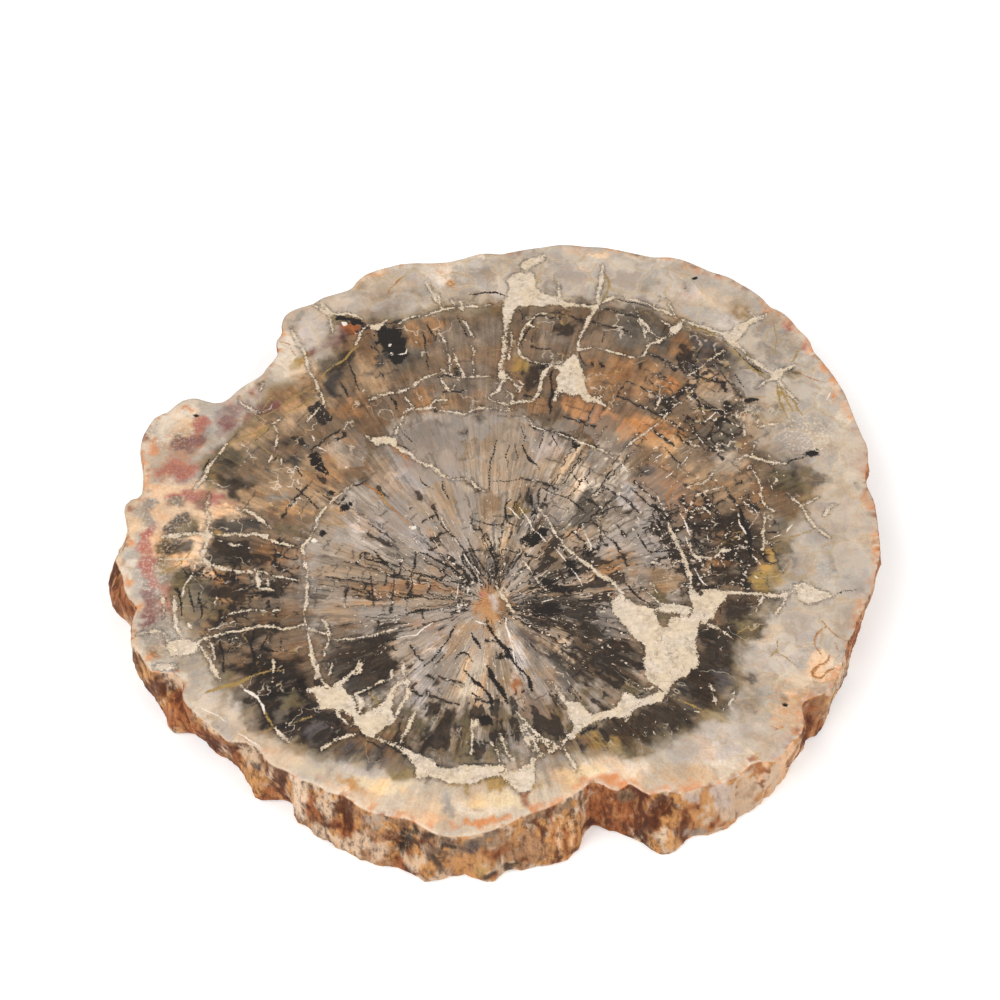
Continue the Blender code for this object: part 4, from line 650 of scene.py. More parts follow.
    ("umber", 1, 78, -35, 88, -35, 98, -36, 95, -42, 89, -46, 80, -44), ("olive", 56, -34, 4, 3, -30),
    ("clay", 93, 8, 3, 8, -10),
    # Lower right.
    ("umber", 1.2, 70.3, -44.2, 75.6, -47, 80.3, -43, 89.7, -43, 88.5, -48.3, 86.2, -51.8, 85.6, -55.4,
     83.8, -58.3, 82.6, -62.4, 81.5, -66.5, 80.3, -70.6, 78, -76, 74.4, -78.3, 70.3, -79, 68, -80.6, 64.4,
     -83.6, 60.3, -87.7, 55.6, -91.8, 50.3, -94.8, 45, -96, 36, -92, 30, -86, 36, -82, 45, -79.5, 48.5,
     -76.5, 55.6, -74.8, 58.5, -70.6, 65.6, -63, 68.5, -59.5, 68, -51.8), ("smoke", 62, -71, 4, 3.4, 30),
    ("smoke", 66, -78, 4, 2.4, 30), ("ash", 64, -74.5, 3, 2, 30), ("slate", 76, -68, 3, 5, 0),
    ("olive", 0.8, 51, -88.3, 53.8, -84.8, 56.8, -87.7, 56.8, -91.8, 54.4, -92.4, 51.5, -91.8),
    ("olive", 84, -46, 3, 2, 0),
    ("moss", 0.8, 67.4, -80.6, 70.3, -78.3, 74.4, -78.3, 78, -81.2, 74.4, -83.6, 70.3, -84.2),
    ("taupe", 84, -77, 4, 6, -20), ("lilac", 95, -56, 8, 9, 0), ("sand", 97, -50, 7, 4, 0),
    ("peach", 97, -82, 7, 12, -20), ("lilac", 74, -90, 10, 6, 25), ("ivory", 62, -102, 17, 5, 14),
    ("lilac", 66, -96, 6, 3, 20), ("cream", 88, -90, 6, 6, -30), ("olive", 57, -44.5, 3, 1.5, 0),
    ("flame", 62, -106.4, 4, 1.4, 10), ("peach", 110, -64, 5, 8, -20), ("sand", 104, -72, 4, 6, 0),
    # Lower left.
    ("night", 1.4, -93.5, -52.4, -90, -54.8, -85.8, -56.5, -81.7, -56.5, -77, -54.8, -74.6, -57.7, -66.4,
     -57.7, -63, -60.6, -62.3, -65.4, -61, -70, -57, -77.7, -52.3, -78.3, -50, -81.2, -46.4, -84.2, -48.8,
     -87.7, -52.3, -91.2, -54.6, -93.6, -59.4, -94.8, -63.5, -91.8, -66.4, -89.5, -70.5, -86, -75.2,
     -84.8, -79.4, -83.6, -84, -80.6, -86.4, -79, -89.4, -75.4, -87, -73, -83, -71.2, -80, -66.5, -85.2,
     -66, -90, -64.8, -92.3, -61.2, -93.5, -56.5), ("brown", -67, -52, 3.4, 5, 10),
    ("smoke", -85, -50, 7, 3, 0), ("brown", -87, -60, 4, 3, 20), ("olive", -66, -74, 3, 3, 0),
    ("ash", 0.7, -88.8, -73.6, -84, -71.2, -80.5, -71.8, -77.6, -74.8, -75.8, -79.5, -74.6, -83, -80.5,
     -83, -85.2, -79.5), ("slate", -57, -86, 4, 4, 0), ("slate", -47, -94, 4, 3, 20),
    ("ash", -69, -80, 3, 3, 0), ("olive", -90, -67, 4, 1.4, 15),
    ("fog", 1, -119.4, -50.6, -114.6, -49.5, -111, -50.6, -109.4, -54.8, -110.5, -58.3, -113.5, -59,
     -116.4, -57, -118.8, -54.2), ("clay", -113, -58, 2, 1.6, 0), ("fog", -102, -62, 6, 4, -35),
    ("lilac", -92, -75, 8, 4, -35), ("cream", -80, -89, 9, 3, -38), ("ivory", -66, -99, 9, 4, -30),
    ("peach", -70, -95, 3, 2, 0), ("sand", -108, -68, 5, 3, -40), ("peach", -58, -104, 8, 2.4, -20),
    # Lower lip.
    ("sand", 2, -98, -72, -86, -80, -76, -90, -62, -97, -48, -102, -36, -104, -24, -106, -10, -107, 10,
     -110, 16, -104, 30, -98, 44, -96, 60, -97, 80, -98, 92, -86, 104, -70, 112, -70, 96, -104, 70, -112,
     40, -110, 20, -116, -5, -124, -30, -122, -60, -112, -80, -100, -100, -84),
    ("sand", 1.5, -70, -98, -50, -104, -30, -110, -30, -118, -60, -110, -80, -98),
    ("peach", -52, -107.5, 12, 2, -24), ("gold", 0, -104.5, 14, 3, 3), ("cream", -10, -113, 16, 4, 0),
    ("mist", -14, -112, 1.6, 5, 20), ("mist", -5, -111, 1.5, 4, 20), ("sand", -5, -108, 2, 4, 25),
    ("lilac", -42, -99, 6, 4, 10), ("moss", -30, -101, 5, 2.6, -25), ("fog", 20, -99, 6, 3, 10),
    ("moss", 36, -90, 7, 3, -15), ("ivory", 39, -100, 9, 4, 0), ("sand", -34, -108, 8, 4, -15),
    ("slate", -38, -95, 5, 3, 0), ("butter", -36, -106, 9, 3, -12), ("butter", 0, -111, 12, 2.4, 0),
    ("butter", 30, -102, 8, 2.4, 10), ("butter", -60, -100, 6, 2, -25),
    ("peach", -24, -117.5, 10, 1.6, -8), ("flame", 2, -118.6, 16, 1.3, 4),
    ("flame", 20, -112, 7, 1.6, 12), ("flame", 36, -105, 9, 1.5, 0), ("rust", 10, -110.5, 1, 3, 30),
    ("lilac", 6, -99, 4, 2, 0), ("ochre", -45, -106, 6, 1.6, -25),
)
# How strongly each kind of figure shows where no zone says otherwise. The sparkle kind is a painted
# highlight: white glints laid on the cracks.
DEFAULTS = {
    "ladder": 0.0, "patch": 0.0, "vein": 0.5, "fibre": 0.2, "mottle": 0.4, "crack": 0.0,
    "fleck": 0.0, "painted_sparkle": 0.0, "agate": 0.6, "grit": 0.1, "stain": 0.1,
}
# The dark wood inside the rind, as softness and outline.
MIDDLE = (
    3, -58, 90, -35, 91, -10, 94, 4, 96, 20, 97, 40, 97, 55, 97, 68, 89, 86, 78, 100, 62, 106, 50, 107,
    40, 112, 25, 111, 5, 104, -8, 98, -20, 97, -33, 91, -40, 84, -52, 81, -68, 74, -79, 59, -89, 46,
    -93, 30, -95, 15, -97, -20, -103, -36, -99, -60, -94, -75, -87, -88, -75, -93, -64, -100, -53, -104,
    -42, -112, -28, -116, -15, -103, 0, -100, 10, -103, 22, -95, 32, -87, 45, -83, 56, -70, 60, -60, 72,
    -61, 85,
)
# Where a kind of figure is stronger or weaker: kind, strength, then an ellipse or an outline as above.
ZONES = (
    ("fibre", 0.8, *MIDDLE), ("mottle", 0.75, *MIDDLE), ("crack", 0.15, *MIDDLE),
    ("ladder", 0.2, *MIDDLE), ("fleck", 0.1, *MIDDLE), ("vein", 0.8, *MIDDLE), ("agate", 0.0, *MIDDLE),
    ("grit", 0.0, *MIDDLE), ("stain", 0.05, *MIDDLE), ("painted_sparkle", 0.45, *MIDDLE),
    ("fibre", 1.0, 0, -25, 66, 70, 0), ("vein", 0.15, 0, -20, 62, 62, 0),
    ("vein", 1.0, 96, 38, 22, 34, 0), ("vein", 1.0, -82, 26, 26, 30, 0),
    ("crack", 0.0, 50, 42, 26, 16, -25), ("fleck", 0.0, 50, 42, 24, 14, -25),
    ("crack", 0.1, 0, 78, 40, 16, 0), ("vein", 0.1, 0, -112, 60, 10, 0),
    ("fleck", 0.2, 0, -10, 60, 50, 0), ("crack", 0.1, 0, -30, 64, 72, 0),
    ("mottle", 0.35, 0, -20, 62, 64, 0), ("patch", 1.0, 0, -12, 62, 58, 0),
    ("patch", 0.4, 0, -72, 40, 22, 0), ("ladder", 0.35, 0, -20, 62, 60, 0),
    ("ladder", 0.05, -22, 22, 32, 24, 0), ("ladder", 0.9, -32, -28, 28, 11, -4),
    ("ladder", 0.6, 40, 8, 22, 26, -35), ("patch", 0.3, 38, 10, 16, 18, 0),
    ("patch", 0.0, 0, -38, 7, 8, 0), ("ladder", 0.6, 12, -18, 18, 20, 0),
    ("ladder", 0.0, 0, -38, 5, 6, 0), ("fibre", 0.1, 0, -38, 6, 7, 0), ("fleck", 0.0, 0, -38, 6, 7, 0),
    ("ladder", 0.45, 50, 42, 24, 14, -25), ("ladder", 0.5, -70, 10, 16, 14, 0),
    ("ladder", 0.25, -4, -64, 34, 18, 0), ("ladder", 0.8, 24, -36, 16, 12, 0),
    ("fleck", 0.0, -36, 8, 20, 16, 0), ("fleck", 0.1, -15, 18, 28, 24, 0),
    ("fleck", 0.12, -4, -64, 34, 18, 0), ("fleck", 0.45, 0, -86, 40, 9, 0),
    ("fleck", 0.6, -6, -78, 24, 3, 0), ("fleck", 0.75, 26, -30, 20, 18, 0),
    ("fleck", 0.75, 36, -58, 12, 14, 0), ("fleck", 0.65, -42, -58, 10, 12, 0),
    ("fleck", 0.12, 34, 10, 16, 22, 0), ("fleck", 0.3, 0, -28, 14, 12, 0),
    ("crack", 1.0, -86, -30, 18, 22, 0), ("fleck", 0.45, -84, -30, 20, 24, 0),
    ("crack", 1.0, 76, -12, 20, 22, 0), ("fleck", 0.4, 78, -14, 16, 18, 0),
    ("crack", 1.0, 80, 50, 22, 20, 0), ("fleck", 0.1, -68, 14, 16, 12, 0),
    ("crack", 0.1, -68, 14, 16, 12, 0), ("painted_sparkle", 1.0, 8, -30, 60, 40, 0),
    ("painted_sparkle", 0.9, 70, 10, 34, 50, 0), ("painted_sparkle", 0.2, -20, 25, 26, 22, 0),
    ("fleck", 0.1, 52, 44, 22, 12, -20), ("agate", 1.0, 105, -62, 14, 18, 0),
    ("grit", 0.6, 112, 34, 10, 9, 0), ("grit", 0.5, -118, 40, 10, 12, 0),
    ("grit", 0.6, -20, 112, 8, 7, 0), ("mottle", 0.25, 0, -112, 50, 10, 0),
    ("crack", 0.0, -105, -10, 14, 12, 0), ("crack", 0.0, -88, -10, 12, 8, 0),
    ("ladder", 0.0, -100, -8, 24, 18, 0), ("mottle", 0.3, -100, -8, 22, 18, 0),
    ("grit", 0.45, -116, -2, 10, 18, 0), ("grit", 0.5, -118, -26, 6, 8, 0),
    ("grit", 0.3, -112, -48, 8, 12, 0), ("agate", 0.12, -108, 20, 22, 38, 0),
    ("agate", 0.2, -112, -40, 14, 26, 0), ("agate", 0.15, 0, -108, 70, 12, 0),
    ("agate", 0.9, 20, 108, 60, 12, 0), ("agate", 0.9, 110, 60, 20, 36, 0),
    ("stain", 0.6, 98, -80, 8, 14, 0), ("stain", 0.5, 62, -104, 10, 4, 0),
    ("stain", 0.35, -112, 20, 12, 26, 0),
)
# Places on the wall as the camera sees them: each at the spot of the top plane that lies on the same
# line of sight.
BARK = (
    ("sand", -110, -62, 14, 3, -45), ("rust", -125, -30, 8, 12, 0), ("darkrust", -130, -24, 4, 6, 0),
    ("cream", -118, -52, 3, 6, 0), ("darkrust", -112, -70, 6, 4, -40), ("rust", -105, -80, 8, 4, -35),
    ("rust", -97, -87, 8, 3, -28), ("darkrust", -92, -90, 5, 2.4, -38),
    ("darkrust", -120, -60, 4, 3, -40), ("ochre", -115, -64, 3, 2, -40), ("cream", -86.6, -93, 1.3, 2, 0),
    ("darkrust", -83.5, -95, 2.4, 5, 22), ("rust", -83.5, -95.5, 1.5, 3.4, 22),
    ("sand", -79, -93, 3, 5, 25), ("ochre", -77, -103, 3.4, 4, 30), ("slate", -76.5, -99, 2, 1.3, 0),
    ("rust", -71, -108, 5, 3.4, 0), ("darkrust", -68.6, -103, 2.4, 6, 18),
    ("ochre", -74.6, -107.4, 2.6, 2, 0), ("darkrust", -73, -108, 2, 0.6, 10),
    ("cream", -62.6, -111, 2, 7, 18), ("rust", -57.4, -112, 1.6, 6, 22), ("sand", -54, -113, 1.6, 6, 22),
    ("darkrust", -52, -119.4, 4.4, 1.2, -28), ("darkrust", -48, -113, 2.6, 4, 10),
    ("sand", -54, -123, 5, 2, -32), ("rust", -46, -121, 2, 4, 0), ("darkrust", -45.5, -115, 2, 8, 0),
    ("sand", -39, -128, 7, 5, 5), ("fog", -38, -118, 4, 3, -20), ("clay", -35, -123, 3, 2, 0),
    ("clay", -40, -131, 2, 2, 0), ("darkrust", -31, -123, 3, 2.6, -20), ("black", -27, -125, 2.4, 4, -15),
    ("darkrust", -22, -126.6, 4, 1.8, -30), ("sand", -23, -132.4, 4, 4.6, 0),
    ("taupe", -25, -131, 1.4, 1, 0), ("umber", -17, -132, 2.6, 4, 15), ("clay", -19, -136, 2, 1.2, 0),
    ("brown", -8, -126.6, 9, 2.6, 6), ("umber", -13, -127.4, 3, 0.7, -6),
    ("slate", -6.5, -128, 2.6, 1.8, 0), ("ochre", -8, -132, 8, 2.6, 3), ("gold", -4, -136, 2.6, 1.4, 0),
    ("umber", -1, -137.4, 2, 1.2, 20), ("taupe", 0, -124, 3, 2.6, 0), ("umber", -19, -123, 2.4, 1.2, 0),
    ("clay", 12, -127, 9, 7, 8), ("umber", 6, -133, 3, 1, 10), ("brown", 18, -114.6, 12, 2.4, 14),
    ("darkrust", 15.4, -121, 1.5, 4, 15), ("ochre", 23.4, -124, 5.4, 8, 10),
    ("rust", 19, -122, 0.5, 5, 8), ("peach", 21, -124, 0.6, 6, 8), ("rust", 23, -125, 0.5, 5, 8),
    ("peach", 24.8, -124, 0.6, 5, 8), ("rust", 26.2, -125, 0.5, 3, 8),
    ("darkrust", 18.5, -113.6, 0.8, 3, -35), ("rust", 43, -112, 10, 10, 0),
    ("darkrust", 44, -108, 9, 4, 0), ("rust", 33.5, -112, 3.2, 9, 0), ("darkrust", 36.6, -116, 1.6, 4, 0),
    ("rust", 41.6, -116, 4, 9, 0), ("brown", 43, -109, 3, 2, 0), ("darkrust", 47, -114, 3, 10, 0),
    ("darkrust", 55, -111.6, 4, 3.4, 0), ("ochre", 55.4, -118, 2.6, 4.4, -22),
    ("sand", 53.4, -124, 3.4, 3, 0), ("ochre", 57, -125.6, 2, 2, 0), ("darkrust", 60, -120, 1.8, 5, 0),
    ("darkrust", 50, -119, 1.6, 6, -20), ("ochre", 65, -117, 3.6, 4, 0), ("lilac", 63.6, -111, 3.4, 2, 0),
    ("fog", 64, -121.6, 4, 1, 10), ("sand", 76, -112, 9, 9, 30), ("lilac", 72, -108, 3, 6, 0),
    ("rust", 86, -101, 1.6, 8, 6), ("darkrust", 85.4, -104, 1, 2, 0), ("peach", 93.6, -98, 4.6, 11, -26),
    ("sand", 90, -102, 2, 6, -20), ("clay", 91, -96, 0.6, 5, -24), ("clay", 97, -96, 0.6, 6, -24),
    ("rust", 104, -81, 3.2, 9, -16), ("darkrust", 102.4, -84, 1, 5, -12), ("clay", 108, -74, 3, 6, -20),
    ("sand", 112, -66, 4, 6, -20), ("rust", 120, -48, 5, 8, -20), ("clay", 126, -34, 3, 9, -10),
    ("rust", 131, -20, 3, 6, 0), ("flame", 133, -6, 3, 8, 0), ("rust", 134, 12, 3, 10, 0),
    ("flame", 132, 30, 3, 8, 0),
)


def linear(rgb):
    """A colour given in display values, as the linear values that the renderer uses."""
    return [((c / 255 + 0.055) / 1.055) ** 2.4 if c > 10 else c / 255 / 12.92 for c in rgb]


COLOURS = {name: np.array(linear(rgb)) for name, rgb in PALETTE.items()}


def eased(share):
    """A share from 0 to 1 that starts and ends gently."""
    return share * share * (3 - 2 * share)


def blended(tone, share, tint):
    """Tones with a tint over them, by one share for each point."""
    share = share[:, None]
    return tone * (1 - share) + tint * share


def closed_loop(points):
    """Points with the first one again at the end."""
    return np.vstack([points, points[:1]])


def soft_noise(x, y, scale, seed):
    """Smooth noise from 0 to 1 over the plane, with about one bump for each scale."""
    grid = np.random.default_rng(seed).random((NOISE_GRID, NOISE_GRID))
    u, v = np.asarray(x) / scale + NOISE_SHIFT, np.asarray(y) / scale + NOISE_SHIFT
    i, j = np.floor(u).astype(int), np.floor(v).astype(int)
    a, b = eased(u - i), eased(v - j)
    i, j = i % NOISE_GRID, j % NOISE_GRID
    k, m = (i + 1) % NOISE_GRID, (j + 1) % NOISE_GRID
    near = grid[i, j] * (1 - a) + grid[k, j] * a
    far = grid[i, m] * (1 - a) + grid[k, m] * a
    return near * (1 - b) + far * b


def wandered(points, amount=WANDER):
    """Points moved a little, all by one smooth field, so that neighbours stay neighbours."""
    x, y = points[:, 0], points[:, 1]
    out = points.copy()
    for scale, share, seed in WANDER_FIELDS:
        out[:, 0] += amount * share * (soft_noise(x, y, scale, seed) * 2 - 1)
        out[:, 1] += amount * share * (soft_noise(x, y, scale, seed + 1) * 2 - 1)
    return out


class Rim:
    """The wall's reach from the centre at each station and height, read off the solid by rays."""

    def __init__(self, node):
        mesh = node.data
        corners = [v.co[:] for v in mesh.vertices]
        self.tree = BVHTree.FromPolygons(corners, [p.vertices[:] for p in mesh.polygons])
        turns = np.linspace(0, math.tau, RIM_RAYS, endpoint=False)
        reach = np.array([self.reach(t, TOP - RIM_BELOW) for t in turns])
        self.turns, self.reaches = turns, reach
        edge = self.places(turns, reach)
        steps = np.hypot(*(np.roll(edge, -1, 0) - edge).T)
        along = np.concatenate([[0], np.cumsum(steps)])
        self.length = along[-1]
        spots = np.linspace(0, self.length, STATIONS, endpoint=False)
        self.stations = np.interp(spots, along, np.append(turns, math.tau))
        self.edge = self.places(self.stations, np.interp(self.stations, turns, reach, period=math.tau))

    def reach(self, turn, height):
        start = Vector((CENTRE[0], CENTRE[1], height)) * MM
        hit = self.tree.ray_cast(start, Vector((math.cos(turn), math.sin(turn), 0)))
        return hit[3] / MM

    @staticmethod
    def places(turns, reach):
        return np.column_stack([CENTRE[0] + reach * np.cos(turns), CENTRE[1] + reach * np.sin(turns)])

    def room(self, points):
        """Each point's offset and distance from the centre, and the rim's distance on the same ray."""
        rel = points - np.array(CENTRE)
        turns = np.arctan2(rel[:, 1], rel[:, 0]) % math.tau
        rim = np.interp(turns, self.turns, self.reaches, period=math.tau)
        return rel, np.hypot(rel[:, 0], rel[:, 1]), rim

    def inside(self, points, margin):
        """Points brought in to at least this far inside the rim."""
        rel, far, rim = self.room(points)
        return np.array(CENTRE) + rel * np.minimum(1.0, (rim - margin) / np.maximum(far, TINY))[:, None]

    def depth(self, points):
        """How far inside the rim each point is, along its ray from the centre."""
        _, far, rim = self.room(points)
        return rim - far


def distances(line):
    """How far along a line each of its points is."""
    return np.concatenate([[0], np.cumsum(np.hypot(*np.diff(line, axis=0).T))])


def drawn(points, rim, closed=False):
    """A listed line as closely spaced points with a natural wander."""
    line = np.array(points, float).reshape(-1, 2)
    if closed:
        line = closed_loop(line)
    along = distances(line)
    count = max(2, int(round(along[-1] / LINE_STEP)) + 1)
    spots = np.linspace(0, along[-1], count)
    out = np.column_stack([np.interp(spots, along, line[:, 0]), np.interp(spots, along, line[:, 1])])
    if count > 3 and not closed:
        out[1:-1] = (out[:-2] + 2 * out[1:-1] + out[2:]) / 4
    out = rim.inside(wandered(out), VEIN_MARGIN)
    if closed:
        out[-1] = out[0]
    return out


def widths_of(line, half):
    """Half widths along a vein: thin at its ends, uneven between."""
    along = distances(line)
    ends = np.minimum(along, along[-1] - along) / VEIN_TAPER
    uneven = 0.3 + 1.1 * soft_noise(line[:, 0], line[:, 1], 2.6, 77)
    return VEIN_WIDTH * half * (0.4 + 0.6 * np.clip(ends, 0, 1)) * uneven


def close_by(xy, line, reach):
    """Numbers of the points that are in the line's box or within reach of it."""
    return np.nonzero(((xy > line.min(0) - reach) & (xy < line.max(0) + reach)).all(1))[0]


def gap_to(spots, a, b):
    """Where between a and b each point is nearest, from 0 to 1, and how far away that is."""
    step = b - a
    t = np.clip((spots - a) @ step / max(step @ step, 1e-9), 0, 1)
    return t, np.hypot(*(spots - a - t[:, None] * step).T)


def raise_line(field, xy, line, widths):
    """Raises a field to each point's depth in a vein, which is negative outside it."""
    near = close_by(xy, line, REACH)
    if not len(near):
        return
    spots = xy[near]
    best = np.full(len(near), -REACH)
    for a, b, wide, next_wide in zip(line[:-1], line[1:], widths[:-1], widths[1:]):
        t, gap = gap_to(spots, a, b)
        best = np.maximum(best, wide + (next_wide - wide) * t - gap)
    field[near] = np.maximum(field[near], best)


def within(xy, loop):
    """Which points lie inside the outline."""
    hit = np.zeros(len(xy), bool)
    x, y = xy[:, 0], xy[:, 1]
    for (ax, ay), (bx, by) in zip(loop[:-1], loop[1:]):
        crosses = (ay > y) != (by > y)
        if ay != by:
            hit ^= crosses & (x < (bx - ax) * (y - ay) / (by - ay) + ax)
    return hit


def signed_gap(xy, loop, most):
    """Distance to the outline, positive inside it, for points near or in it, and -most elsewhere."""
    out = np.full(len(xy), -most)
    near = close_by(xy, loop, most)
    if not len(near):
        return out
    spots = xy[near]
    gap = np.full(len(near), 1e9)
    for a, b in zip(loop[:-1], loop[1:]):
        gap = np.minimum(gap, gap_to(spots, a, b)[1])
    out[near] = np.maximum(np.where(within(spots, loop), gap, -gap), -most)
    return out


def from_pith(xy):
    """Each point's offset and distance from the pith."""
    out = xy - np.array(PITH)
    return out, np.hypot(out[:, 0], out[:, 1])


def streaks(xy, seed, turns=2, length=9.0):
    """Noise from -1 to 1 in streaks that run out from the pith, seamless round it."""
    out, far = from_pith(xy)
    around = np.arctan2(out[:, 1], out[:, 0]) * NOISE_GRID * turns / math.tau
    return soft_noise(around, far / length, 1.0, seed) * 2 - 1


def combed(xy, along, across):
    """Points moved along their rays by streaky noise, so that what is painted by them looks fibrous.

    They move less near the pith and in the outer ring, which has no fibres."""
    out, far = from_pith(xy)
    heading = out / np.maximum(far, TINY)[:, None]
    inner = np.clip((108 - np.hypot(out[:, 0] * 0.95, out[:, 1] - 18)) / 45, 0.1, 1)
    inner *= np.clip(far / PITH_REACH, 0.1, 1)
    push = (streaks(xy, 51) * 0.7 + streaks(xy, 52, 4, 6.0) * 0.6) * along * inner
    return wandered(xy, across) + heading * push[:, None]


def cover(xy, patch, frayed=0.0):
    """How strongly a tone patch covers each point, from 0 to 1."""
    if len(patch) == 6:
        _, x, y, wide, high, turn = patch
        c, s = math.cos(math.radians(turn)), math.sin(math.radians(turn))
        dx, dy = xy[:, 0] - x, xy[:, 1] - y
        far = np.hypot((dx * c + dy * s) / wide, (dy * c - dx * s) / high) + frayed
        return np.clip((1.25 - far) / 0.5, 0, 1)
    soft = patch[1]
    loop = closed_loop(np.array(patch[2:], float).reshape(-1, 2))
    return np.clip(signed_gap(xy, loop, soft * 2) / (2 * soft) + 0.5, 0, 1)


def paint(xy, patches, start):
    """Tones stacked in order over the starting tone, with wandering edges."""
    tone = np.tile(COLOURS[start], (len(xy), 1))
    spots = combed(xy, *COMB)
    calm = np.clip(from_pith(xy)[1] / PITH_REACH, 0, 1)
    frayed = 0.5 * (soft_noise(xy[:, 0], xy[:, 1], 3.0, 61) - 0.5) + 0.3 * streaks(xy, 62, 4, 5.0) * calm
    for patch in patches:
        tone = blended(tone, eased(cover(spots, patch, frayed)), COLOURS[patch[0]])
    return tone


def tint_border(xy, tone):
    """The mossy band where the dark wood meets the rind."""
    loop = closed_loop(np.array(MIDDLE[1:], float).reshape(-1, 2))
    gap = signed_gap(combed(xy, *COMB), loop, 9.0)
    patchy = np.clip(soft_noise(xy[:, 0], xy[:, 1], 7.0, 44) * 1.8 - 0.3, 0, 1)
    share = np.exp(-((gap - 0.5) / 2.6) ** 2) * 0.75 * patchy
    mixed = soft_noise(xy[:, 0], xy[:, 1], 5.0, 45)[:, None]
    return blended(tone, share, COLOURS["moss"] * mixed + COLOURS["olive"] * (1 - mixed))


def tint_rim(rim, xy, tone):
    """The weathered band just inside the outline: cream, with flame and rust spots."""
    x, y = xy[:, 0], xy[:, 1]
    deep = rim.depth(xy) + 3.0 * (soft_noise(x, y, 4.0, 41) - 0.5)
    band = np.clip((3.6 - deep) / 2.2, 0, 1)
    spots = soft_noise(x, y, 3.2, 42) * 0.6 + soft_noise(x, y, 1.5, 43) * 0.4
    right = np.clip((x + 20) / 90, 0, 1)
    flame = np.clip((spots - 0.62 + 0.14 * right) / 0.12, 0, 1)
    rust = np.clip((0.3 + 0.08 * right - spots) / 0.1, 0, 1)
    for name, share in (("cream", 0.75), ("flame", flame), ("rust", rust)):
        tone = blended(tone, band * share, COLOURS[name])
    return tone


VEINS = {"ivory": (IVORY, IVORY_AREAS), "white": (WHITE, WHITE_AREAS), "black": (BLACK, ()),
         "blot": ((), BLACK_AREAS), "gold": (GOLD, ()), "rust": (RUST, ())}


def grid_of(half_wide, low, high, across, up, shift=0.0):
    """Points in rows over the face, every second row shifted."""
    rows = np.arange(low, high, up)
    return np.array([(x + (k % 2) * shift, y) for k, y in enumerate(rows)
                     for x in np.arange(-half_wide, half_wide, across)])


def meshed(points, edges, loop):
    """Triangles through points and along edges, inside an outline that is the first points."""
    made = delaunay_2d_cdt([Vector(p) for p in points], edges, [], 0, 1e-4)
    xy = np.array([tuple(v) for v in made[0]])
    faces = np.array(made[2])
    faces = faces[within(xy[faces].mean(1), closed_loop(loop))]
    place = {source: k for k, sources in enumerate(made[3]) for source in sources if source < STATIONS}
    return xy, faces, [place[i] for i in range(STATIONS)]


def make_top(rim):
    """The polished face as triangles whose edges follow every vein, with a field for each kind of vein."""
    outward = rim.edge - np.array(CENTRE)
    edge = rim.edge - outward / np.hypot(*outward.T)[:, None] * EDGE_ROUND
    points = [tuple(p) for p in edge]
    edges = [(i, (i + 1) % STATIONS) for i in range(STATIONS)]
    drawn_lines, drawn_areas = [], []
    for kind, (lines, areas) in VEINS.items():
        drawn_lines += [(kind, drawn(entry[1:], rim), entry[0]) for entry in lines]
        drawn_areas += [(kind, drawn(entry, rim, True)) for entry in areas]
    drawn_areas += [("pit", drawn(entry, rim, True)) for entry in PITS]
    for line in [entry[1] for entry in drawn_lines + drawn_areas]:
        first = len(points)
        points += [tuple(p) for p in line]
        edges += [(first + i, first + i + 1) for i in range(len(line) - 1)]
    held = np.array(points)
    spots = grid_of(HALF_WIDE, -TOP_HALF_DEEP, TOP_HALF_DEEP, TOP_GRID, TOP_GRID * 0.866, TOP_GRID / 2)
    spots += np.random.default_rng(SEED).uniform(-0.3, 0.3, spots.shape) * TOP_GRID
    spots = spots[rim.depth(spots) > TOP_MARGIN]
    cells = set(map(tuple, np.floor(held / POINT_GAP).astype(int)))
    free = [tuple(c) not in cells for c in np.floor(spots / POINT_GAP).astype(int)]
    points += [tuple(p) for p in spots[free]]
    xy, faces, top_rim = meshed(points, edges, edge)
    fields = {kind: np.full(len(xy), -REACH) for kind in (*VEINS, "pit")}
    for kind, line, half in drawn_lines:
        raise_line(fields[kind], xy, line, widths_of(line, half))
    for kind, loop in drawn_areas:
        fields[kind] = np.maximum(fields[kind], signed_gap(xy, loop, REACH))
    return xy, faces, top_rim, fields


def wall_heights():
    """Heights of the wall's rings, close together under the polished edge and at the foot."""
    middle = np.linspace(TOP - 2.0, 1.0, WALL_RINGS)
    return np.concatenate([[TOP - EDGE_ROUND, TOP - 1.1], middle, [0.35, 0.0]])


def bark_noise(x, y, height, kind):
    across, up, shift, _ = kind
    return noise.noise(Vector((x / across, y / across, height / up + shift)))


def make_wall(rim):
    """The wall's rings of points with the bark's lumps, ridges and crumbs, and how far each stands out."""
    rings, relief = [], []
    for height in wall_heights():
        fade = min(1.0, (TOP - EDGE_ROUND - height) / 3.5) * min(1.0, height / 1.5 + 0.2)
        ring, outs = [], []
        for turn in rim.stations:
            reach = rim.reach(turn, min(max(height, 0.05), TOP - 0.05))
            x, y = CENTRE[0] + reach * math.cos(turn), CENTRE[1] + reach * math.sin(turn)
            ridge = 0.5 - abs(bark_noise(x, y, height, RIDGES))
            out = LUMPS[-1] * bark_noise(x, y, height, LUMPS) + RIDGES[-1] * ridge
            out += CRUMBS[-1] * bark_noise(x, y, height, CRUMBS)
            ring.append((x + out * fade * math.cos(turn), y + out * fade * math.sin(turn), height))
            outs.append(out)
        rings.append(ring)
        relief.append(outs)
    return np.array(rings), np.array(relief)


def make_base(rim, ring):
    """The sawn underside as triangles inside the wall's last ring."""
    edges = [(i, (i + 1) % STATIONS) for i in range(STATIONS)]
    spots = grid_of(HALF_WIDE, -BASE_HALF_DEEP, BASE_HALF_DEEP, BASE_GRID, BASE_GRID)
    spots = spots[rim.depth(spots) > BASE_MARGIN]
    return meshed([tuple(p[:2]) for p in ring] + [tuple(p) for p in spots], edges, ring[:, :2])


